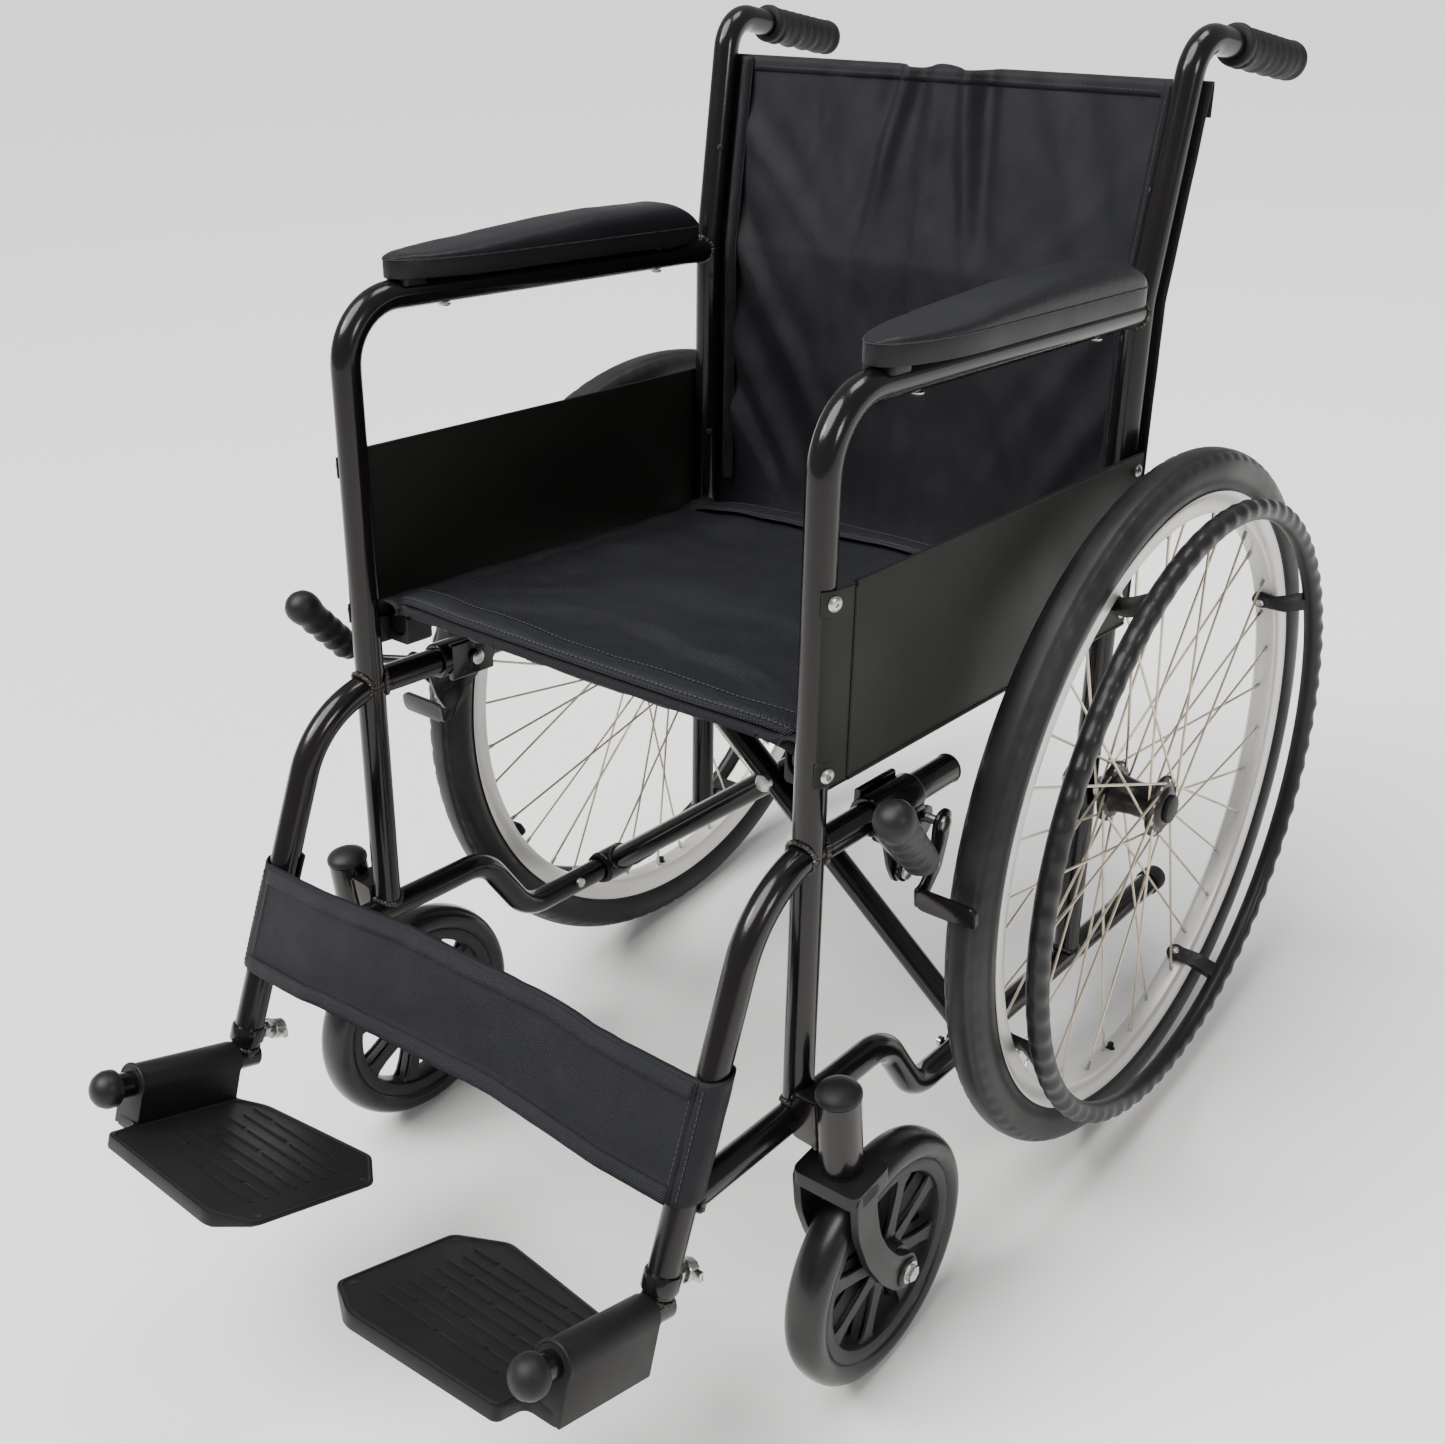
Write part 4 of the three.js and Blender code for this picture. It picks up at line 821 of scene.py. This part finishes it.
def applied(o):
    """turn modifiers into mesh"""
    dg = bpy.context.evaluated_depsgraph_get()
    me = bpy.data.meshes.new_from_object(o.evaluated_get(dg), depsgraph=dg)
    o.modifiers.clear()
    o.data = me
    for pl in me.polygons:
        pl.use_smooth = True
    return o


# ---- seat: lightly padded sling between the seat tubes, hemmed in front and behind, with side flaps over the tubes
def seat_front(x):
    return -166 + 15.5 * min(1, abs(x) / 205) ** 5


def seat_rear(x):
    return 229 - 2.5 * min(1, abs(x) / 205) ** 3


def seat_top(x, u):
    f, r = seat_front(x), seat_rear(x)
    t = (u - f) / (r - f)
    ax = min(1.0, abs(x) / 197.5)
    crown = 471.0 + 13.5 * (1 - ax ** 9) ** 0.5
    sag = -4.5 * (1 - ax ** 2) * smooth01(t / 0.25) * smooth01((1 - t) / 0.3)
    rear = 6.5 * math.exp(-((u - 232) / 50) ** 2) * (1 - ax ** 2) ** 0.8
    edge = min(u - f, r - u)
    roll = -9.0 * max(0.0, 1 - edge / 9.0) ** 2.2
    wr = 2.3 * nz(x * 0.011 + 4, u * 0.021, 1.7) + 1.3 * nz(x * 0.03, u * 0.012, 5.2)
    # soft wrinkles that run across the seat from the tubes
    side = smooth01((ax - 0.35) / 0.5)
    wr += 1.5 * side * math.sin(u * 0.115 + 2.2 * nz(x * 0.01, u * 0.01, 9) + x * 0.006) * smooth01(edge / 40)
    wr += 1.6 * math.sin((u * 0.05) + (abs(x) * 0.018) + 3.0 * nz(u * 0.006, 2.2)) * (1 - side) * smooth01(edge / 30)
    wr *= smooth01(edge / 16) * smooth01((1 - ax) / 0.06)
    hem = 1.2 if 4 < edge < 26 else 0.0
    return crown + sag + rear + roll + wr + hem * smooth01((1 - ax) / 0.03)


nu, nx = 132, 92
rows = []
for i in range(nu + 1):
    t = i / nu
    loop = []
    for j in range(nx + 1):
        a = -1 + 2 * j / nx
        x = 196.5 * math.copysign(1 - (1 - abs(a)) ** 1.15, a)
        u = seat_front(x) + (seat_rear(x) - seat_front(x)) * t
        loop.append((x, u, seat_top(x, u)))
    for j in range(nx - 1, 0, -1):
        a = -1 + 2 * j / nx
        x = 196.5 * math.copysign(1 - (1 - abs(a)) ** 1.15, a)
        u = seat_front(x) + (seat_rear(x) - seat_front(x)) * t
        edge = min(u - seat_front(x), seat_rear(x) - u)
        low = 470.4 - 6.0 * (1 - (x / 196.6) ** 2) * smooth01(edge / 60)
        low += 3.0 * max(0.0, 1 - edge / 9.0) ** 2
        loop.append((x, u, min(low, seat_top(x, u) - 2.0)))
    rows.append(loop)
V = [pt for r in rows for pt in r]
m = len(rows[0])
F = [(i * m + j, i * m + (j + 1) % m, (i + 1) * m + (j + 1) % m, (i + 1) * m + j) for i in range(nu) for j in range(m)]
F += [tuple(reversed(range(m))), tuple(range(nu * m, (nu + 1) * m))]
seat = piece("seat_cushion", (V, F), SLING_H, "brace_b", "sling_fabric", replaces=["seat_sling"], sharp=80, body_ride=False)


def swell(o, pressure=2.2, cap=0.004, frames=14, voxel=0.006, pin=None):
    """cloth simulation of a slack padded cover: a light pressure rounds it, and no point moves further than cap"""
    scn = bpy.context.scene
    rest = [v.co.copy() for v in o.data.vertices]
    cl = o.modifiers.new("cloth", "CLOTH")
    st = cl.settings
    st.quality = 5
    st.mass = 0.25
    st.tension_stiffness = 25
    st.compression_stiffness = 12
    st.bending_stiffness = 1.2
    st.use_pressure = True
    st.uniform_pressure_force = pressure
    st.effector_weights.gravity = 0
    cl.point_cache.frame_start, cl.point_cache.frame_end = 1, frames
    if pin:
        g = o.vertex_groups.new(name="pin")
        g.add(pin, 1.0, "REPLACE")
        st.vertex_group_mass = "pin"
    scn.frame_start, scn.frame_end = 1, frames
    for f in range(1, frames + 1):
        scn.frame_set(f)
    dg = bpy.context.evaluated_depsgraph_get()
    ev = o.evaluated_get(dg).to_mesh()
    moved = []
    for v, r in zip(ev.vertices, rest):
        d = v.co - r
        if d.length > cap:
            d = d.normalized() * cap
        moved.append(r + d)
    o.evaluated_get(dg).to_mesh_clear()
    o.modifiers.clear()
    o.vertex_groups.clear()
    for v, c in zip(o.data.vertices, moved):
        v.co = c
    scn.frame_set(1)
    o.data.update()


low_edge = [k for k, v in enumerate(V) if abs(v[0]) > 190 or v[2] < 471.5]
swell(seat, pin=low_edge)
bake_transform(seat)

# hem tapes and their stitches, side flaps with a row of stitches
def seat_line(offset, rear=False, lift=0.5, n=90, lim=192):
    pts = []
    for k in range(n + 1):
        x = -lim + 2 * lim * k / n
        u = seat_rear(x) - offset if rear else seat_front(x) + offset
        pts.append((x, u, seat_top(x, u) + lift))
    return pts


for tag, rear in (("front", False), ("rear", True)):
    a, b = seat_line(3.0, rear, 1.0), seat_line(27.0, rear, 1.0)
    mid = [seat_line(o_, rear, 1.1) for o_ in (3.0, 9.0, 15.0, 21.0, 27.0)]
    tape = grid_sheet("seat_hem_" + tag, mid, HEM, "brace_b", "sling_fabric", thick=1.0, ride=False)
    applied(tape)
    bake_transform(tape)
    st = piece("seat_stitch_" + tag, join(stitches(seat_line(5.5, rear, 1.9)), stitches(seat_line(24.5, rear, 1.9))), THREAD, "brace_b", "sling_fabric", body_ride=False)
    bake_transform(st)
for s, b in ((-1, "brace_b"), (1, "brace_a")):
    # sleeve of the seat fabric over the seat tube, its end at the back standing a little proud
    rows = []
    for i in range(81):
        u = -158.5 + 385.5 * i / 80
        proud = 5.5 * smooth01((u - 196) / 18)
        row = []
        for (dx, dw) in ((-13.5, 12.0), (-12.6, 15.0), (-10, 18.2), (-5, 20.0), (0, 20.2), (5, 19.2), (9.5, 16), (12.4, 10), (13.6, 2), (13.8, -6), (13.5, -12), (13.1, -19)):
            k = nz(u * 0.02, dw * 0.05, s * 3.0)
            lift = (proud if dw > 9 else 0) + 1.1 * k + (0.8 * math.sin(u * 0.09 + dx * 0.1) if dw > 9 else 0)
            row.append((s * (SEAT_X + dx + 0.5 * k - max(0.0, -dw) * 0.03), u, SEAT_W + dw + lift))
        rows.append(row)
    side = "left" if s < 0 else "right"
    fl = grid_sheet("seat_flap_" + side, rows, SLING_H, b, "sling_fabric", thick=1.6)
    edge_line = [(s * (SEAT_X - 12.8), -157 + 6.0 * k, SEAT_W + 15.6 + 5.5 * smooth01((-157 + 6.0 * k - 196) / 18) + 1.1 * nz((-157 + 6.0 * k) * 0.02, 0.7, s * 3.0)) for k in range(64)]
    top_line = [(s * (SEAT_X + 9.6), y, z + 1.6) for (_, y, z) in edge_line]
    piece("seat_piping_" + side, join(sweep(edge_line, 0.8, 8), sweep([(s * (SEAT_X - 13), 227.4, SEAT_W + 20), (s * (SEAT_X - 5), 227.6, SEAT_W + 25.4), (s * (SEAT_X + 5), 227.6, SEAT_W + 25), (s * (SEAT_X + 12), 227.4, SEAT_W + 18)], 0.8, 8)), PIPING, b, "sling_fabric")
    piece("seat_flap_stitch_" + side, join(stitches(top_line)), THREAD, b, "sling_fabric")
    piece("seat_rail_screws_" + side, join(*[screw_head((s * (SEAT_X + 14.6), u, SEAT_W - 1), (s, 0, 0), 4.6, 2.0) for u in (-120, -60, 0, 60, 120, 180)]), ZINC, b, "zinc_hardware")


# ---- back: sling stretched between the back posts, pinched folds at its top edge
def back_u(x, w):
    """front face of the sling, by height and place across"""
    xp = post_x(w)
    base = post_u(w) + 12.6
    f = min(1.0, abs(x) / xp)
    sag = (3 + 4 * smooth01((w - 500) / 200)) * (1 - f ** 2.2)
    top = smooth01((w - 640) / 238)
    # two pinched folds from the top centre run down and outward
    v = 0.0
    for c0, slope, amp, wd in ((-36, -0.16, 11.5, 8.0), (24, 0.13, 12.0, 8.0), (-6, 0.0, 6.0, 11.0), (-92, -0.42, 4.5, 13.0), (96, 0.40, 4.5, 14.0)):
        cx = c0 + slope * (878 - w)
        v -= amp * math.exp(-((x - cx) / wd) ** 2) * top ** 1.4
        v += amp * 0.55 * math.exp(-((x - cx - 1.9 * wd * (1 if c0 > 0 else -1)) / (wd * 1.3)) ** 2) * top ** 1.3
    # diagonal pulls to the posts
    pull = 0.0
    side = 1.0 if x < 0 else 0.55
    for w0, sl, amp, wd in ((842, 1.0, 2.6, 10), (752, 1.5, 4.6, 11), (676, 1.7, 4.8, 12), (596, 1.3, 3.6, 11)):
        d = ((w - w0) + sl * (xp - abs(x))) / math.hypot(1, sl)
        fade = smooth01((f - 0.22) / 0.55)
        pull -= side * amp * math.exp(-(d / wd) ** 2) * fade
        pull += side * amp * 0.6 * math.exp(-((d - 1.6 * wd) / (wd * 1.2)) ** 2) * fade
    wr = 3.0 * nz(x * 0.012, w * 0.010, 2.1) + 1.9 * nz(x * 0.035, w * 0.02, 8.4) + 0.9 * nz(x * 0.09, w * 0.035, 5.2)
    wr += 2.6 * math.exp(-((x + 22 - 0.05 * (w - 620)) / 7) ** 2) * smooth01((800 - w) / 120)
    keep = smooth01((1 - f) / 0.10)
    return base + sag + (v + pull + wr) * keep


rows = []
nw, nxb = 110, 150


def sling_reach(w):
    """half width of the sling: it runs on past the posts"""
    return post_x(w) + 14.5


for i in range(nw + 1):
    w = 466 + (877.5 - 466) * i / nw
    row = []
    for j in range(nxb + 1):
        a = -1 + 2 * j / nxb
        x = a * sling_reach(w)
        u = back_u(x, w)
        # outboard edge, slightly waved
        if abs(x) > post_x(w):
            u += 1.1 * nz(w * 0.035, x * 0.02, 6.6)
        ww = w - (0.6 if i == nw else 0)
        dip = 2.6 * math.exp(-((x + 30) / 15) ** 2) + 2.4 * math.exp(-((x - 24) / 15) ** 2) - 1.6 * math.exp(-((x + 4) / 13) ** 2)
        ww -= dip * smooth01((w - 862) / 15)
        row.append((x, u, ww))
    rows.append(row)
# the top edge turns over to the back
for back, dz in ((1.6, 0.8), (2.8, 0.2), (3.2, -3), (3.4, -12), (3.5, -24)):
    rows.append([(x, u + back, w + dz) for (x, u, w) in rows[nw]])
back = grid_sheet("back_panel", rows, SLING_V, "left_frame", "sling_fabric", thick=1.7, replaces=["back_sling"], offset=0.0, ride=False)
applied(back)
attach(back, "left_frame")
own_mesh(back)
# hems, stitch rows and the piping at the sleeves
def back_line(w, lim=0.93, n=100, lift=-1.5, off=0.0):
    out = []
    for k in range(n + 1):
        a = -lim + 2 * lim * k / n
        xp = post_x(w) - 13
        out.append((a * xp, back_u(a * xp, w) + lift, w + off))
    return out


st = piece("back_stitch_rows", join(*[stitches(back_line(w)) for w in (869.5,)]), THREAD, "left_frame", "sling_fabric")
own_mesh(st)
hem_rows = [back_line(w, lim=0.985, lift=-1.3) for w in (865.5, 869, 872.5, 876)]
ht = grid_sheet("back_hem_top", hem_rows, SLING_V, "left_frame", "sling_fabric", thick=0.8, ride=False)
applied(ht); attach(ht, "left_frame")
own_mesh(ht)
for s, fr in ((-1, "left_frame"), (1, "right_frame")):
    side = "left" if s < 0 else "right"
    # sleeve strip on the inner side of the post: the sling folded forward and sewn
    rows = []
    for i in range(97):
        w = 499 + (876.5 - 499) * i / 96
        row = []
        for k in range(9):
            t = k / 8
            x = post_x(w) - 12.8 - 10.5 * t
            bow = 4.2 * math.sin(math.pi * t) + 0.9 * nz(w * 0.05, t * 2, s * 2.0) * math.sin(math.pi * t)
            pucker = 1.3 * math.sin(w * 0.19 + 2.0 * nz(w * 0.02, 3.3)) * smooth01(t * 2) * (1 - t) * smooth01((760 - w) / 60)
            row.append((s * x, post_u(w) + 10.6 - bow - 0.2 * (1 - t) * 10 - pucker, w))
        rows.append(row)
    sl = grid_sheet("back_sleeve_" + side, rows, SLING_V, fr, "sling_fabric", thick=1.3)
    line = []
    for i in range(90):
        w = 504 + (872 - 504) * i / 89
        line.append((s * (post_x(w) + 9.5), post_u(w) + 12.6 - 1.2, w))
    piece("back_sleeve_stitch_" + side, stitches([(s * (post_x(w) - 17.5), post_u(w) + 4.7, w) for w in [504 + 4.1 * k for k in range(90)]]), THREAD, fr, "sling_fabric")
    pip = []
    for i in range(100):
        w = 501 + (874 - 501) * i / 99
        pip.append((s * (post_x(w) - 23.4), post_u(w) + 10.4, w))
    pp = piece("back_piping_" + side, sweep(pip, 0.8, 8), HEM, fr, "sling_fabric")
    # screws that hold the lower part of the sling to the post
    piece("back_screws_" + side, join(*[screw_head((s * (post_x(w) - 9.0), post_u(w) - 7.2, w), (-s * 0.77, -0.64, 0), 2.7, 1.2) for w in (545, 690, 800)]), PIPING, fr, "zinc_hardware")


# ---- calf strap round the hanger legs
def calf_u(x, w):
    f = min(1.0, abs(x) / SX)
    wr = 2.6 * nz(x * 0.014, w * 0.022, 4.4) + 1.0 * nz(x * 0.05, w * 0.04, 6.1)
    # flat across each leg, so that it still clears them when the chair is folded
    inner = max(0.0, 1 - (f / 0.70) ** 2)
    return leg_u(w) - 14.2 + 7.6 * inner + wr * smooth01((0.72 - f) / 0.2) - 0.5 * abs(nz(x * 0.05, w * 0.04, 6.1)) * smooth01((1 - f) / 0.08)


rows = []
for i in range(31):
    w = 206 + 80 * i / 30
    row = []
    for j in range(101):
        x = -SX + 2 * SX * j / 100
        edge = min(i, 30 - i)
        row.append((x, calf_u(x, w) - (0.9 if edge in (1, 2, 3, 4) else 0) + (1.6 if edge == 0 else 0), w + 1.6 * math.sin(x * 0.013 + 1) * (0.6 if i > 15 else 0.3)))
    rows.append(row)
calf = grid_sheet("calf_panel", rows, SLING_V, "left_frame", "sling_fabric", thick=2.0, replaces=["calf_strap"], ride=False)
applied(calf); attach(calf, "left_frame")
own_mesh(calf)
for tag, w in (("low", 212.5), ("high", 279.5)):
    hr = []
    for dw in (-5.5, -2, 2, 5.5):
        hr.append([(-SX * 0.99 + 2 * SX * 0.99 * j / 100, calf_u(-SX * 0.99 + 2 * SX * 0.99 * j / 100, w + dw) - 2.4, w + dw + 1.6 * math.sin((-SX + 2 * SX * j / 100) * 0.013 + 1) * (0.6 if w > 245 else 0.3)) for j in range(101)])
    h = grid_sheet("calf_hem_" + tag, hr, HEM, "left_frame", "sling_fabric", thick=0.7, ride=False)
    applied(h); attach(h, "left_frame")
    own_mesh(h)
for s, fr, leg_name in ((-1, "left_frame", "l_hanger"), (1, "right_frame", "r_hanger")):
    side = "left" if s < 0 else "right"
    rows = []
    for i in range(25):
        w = 206.5 + 79 * i / 24
        row = []
        for k in range(33):
            a = math.radians(-112 + 262 * k / 32)
            r = 13.3 + 0.5 * nz(w * 0.05, k * 0.3, s * 5.0)
            row.append((s * (SX + r * math.cos(a)), leg_u(w) + r * math.sin(a) / 0.95, w))
        rows.append(row)
    sl = grid_sheet("calf_sleeve_" + side, rows, SLING_V, fr, "sling_fabric", thick=1.6)
    piece("calf_stitch_" + side, join(*[stitches([(s * (SX + 14.7 * math.cos(math.radians(a))), leg_u(w) + 14.9 * math.sin(math.radians(a)) / 0.95, w) for w in range(209, 285, 3)]) for a in (-104, -70)]), THREAD, fr, "sling_fabric")


# ------------------------------------------------------------------ floor, light, camera
floor_mat = bpy.data.materials.new("floor")
floor_mat.use_nodes = True
fb = floor_mat.node_tree.nodes["Principled BSDF"]
fb.inputs["Base Color"].default_value = (0.90, 0.895, 0.885, 1)
fb.inputs["Roughness"].default_value = 0.62
me = bpy.data.meshes.new("floor")
me.from_pydata([(-40, -40, 0), (40, -40, 0), (40, 40, 0), (-40, 40, 0)], [], [(0, 1, 2, 3)])
floor = bpy.data.objects.new("floor", me)
me.materials.append(floor_mat)
bpy.context.scene.collection.objects.link(floor)

world = bpy.data.worlds.new("studio")
bpy.context.scene.world = world
world.use_nodes = True
world.node_tree.nodes["Background"].inputs["Color"].default_value = (0.93, 0.94, 0.96, 1)
world.node_tree.nodes["Background"].inputs["Strength"].default_value = 0.42


def area(name, loc, aim, size, power, color=(1, 1, 1), size_y=None):
    ld = bpy.data.lights.new(name, "AREA")
    ld.energy = power
    ld.size = size
    if size_y:
        ld.shape = "RECTANGLE"; ld.size_y = size_y
    ld.color = color
    o = bpy.data.objects.new(name, ld)
    o.location = loc
    o.rotation_euler = (Vector(aim) - Vector(loc)).to_track_quat("-Z", "Y").to_euler()
    bpy.context.scene.collection.objects.link(o)


area("key", (-1.9, -2.4, 3.4), (0, 0, 0.3), 1.0, 60, (1, 0.985, 0.96))
area("fill", (3.2, -0.6, 2.2), (0, 0, 0.4), 0.8, 30, (1, 0.95, 0.89))
area("top", (0.3, 1.2, 4.2), (0, 0, 0.2), 1.4, 55)
sun = bpy.data.lights.new("sun", "SUN")
sun.energy, sun.angle, sun.color = 4.9, math.radians(45), (1, 0.99, 0.97)
so = bpy.data.objects.new("sun", sun)
so.rotation_euler = (math.radians(24), math.radians(-14), 0)
bpy.context.scene.collection.objects.link(so)

AZ, EL, ROLL = math.radians(36.32), math.radians(28.87), math.radians(-1.60)
back_v = Vector((math.sin(AZ) * math.cos(EL), -math.cos(AZ) * math.cos(EL), math.sin(EL)))
right_v = Vector((math.cos(AZ), math.sin(AZ), 0))
up_v = back_v.cross(right_v)
r1 = right_v * math.cos(ROLL) + up_v * math.sin(ROLL)
u1 = -right_v * math.sin(ROLL) + up_v * math.cos(ROLL)
cam = bpy.data.cameras.new("camera")
cam_o = bpy.data.objects.new("camera", cam)
bpy.context.scene.collection.objects.link(cam_o)
pos = WLD(748.0, -821.4, 1030.3)
cam_o.matrix_world = Matrix(((r1.x, u1.x, back_v.x, pos.x), (r1.y, u1.y, back_v.y, pos.y), (r1.z, u1.z, back_v.z, pos.z), (0, 0, 0, 1)))
cam.sensor_fit = "HORIZONTAL"
cam.sensor_width = 36.0
cam.lens = 1571.5 / 1445 * 36.0
cam.shift_x = -(848.0 - 722.5) / 1445
cam.shift_y = (712.7 - 722.0) / 1445
cam.clip_start, cam.clip_end = 0.05, 60
bpy.context.scene.camera = cam_o
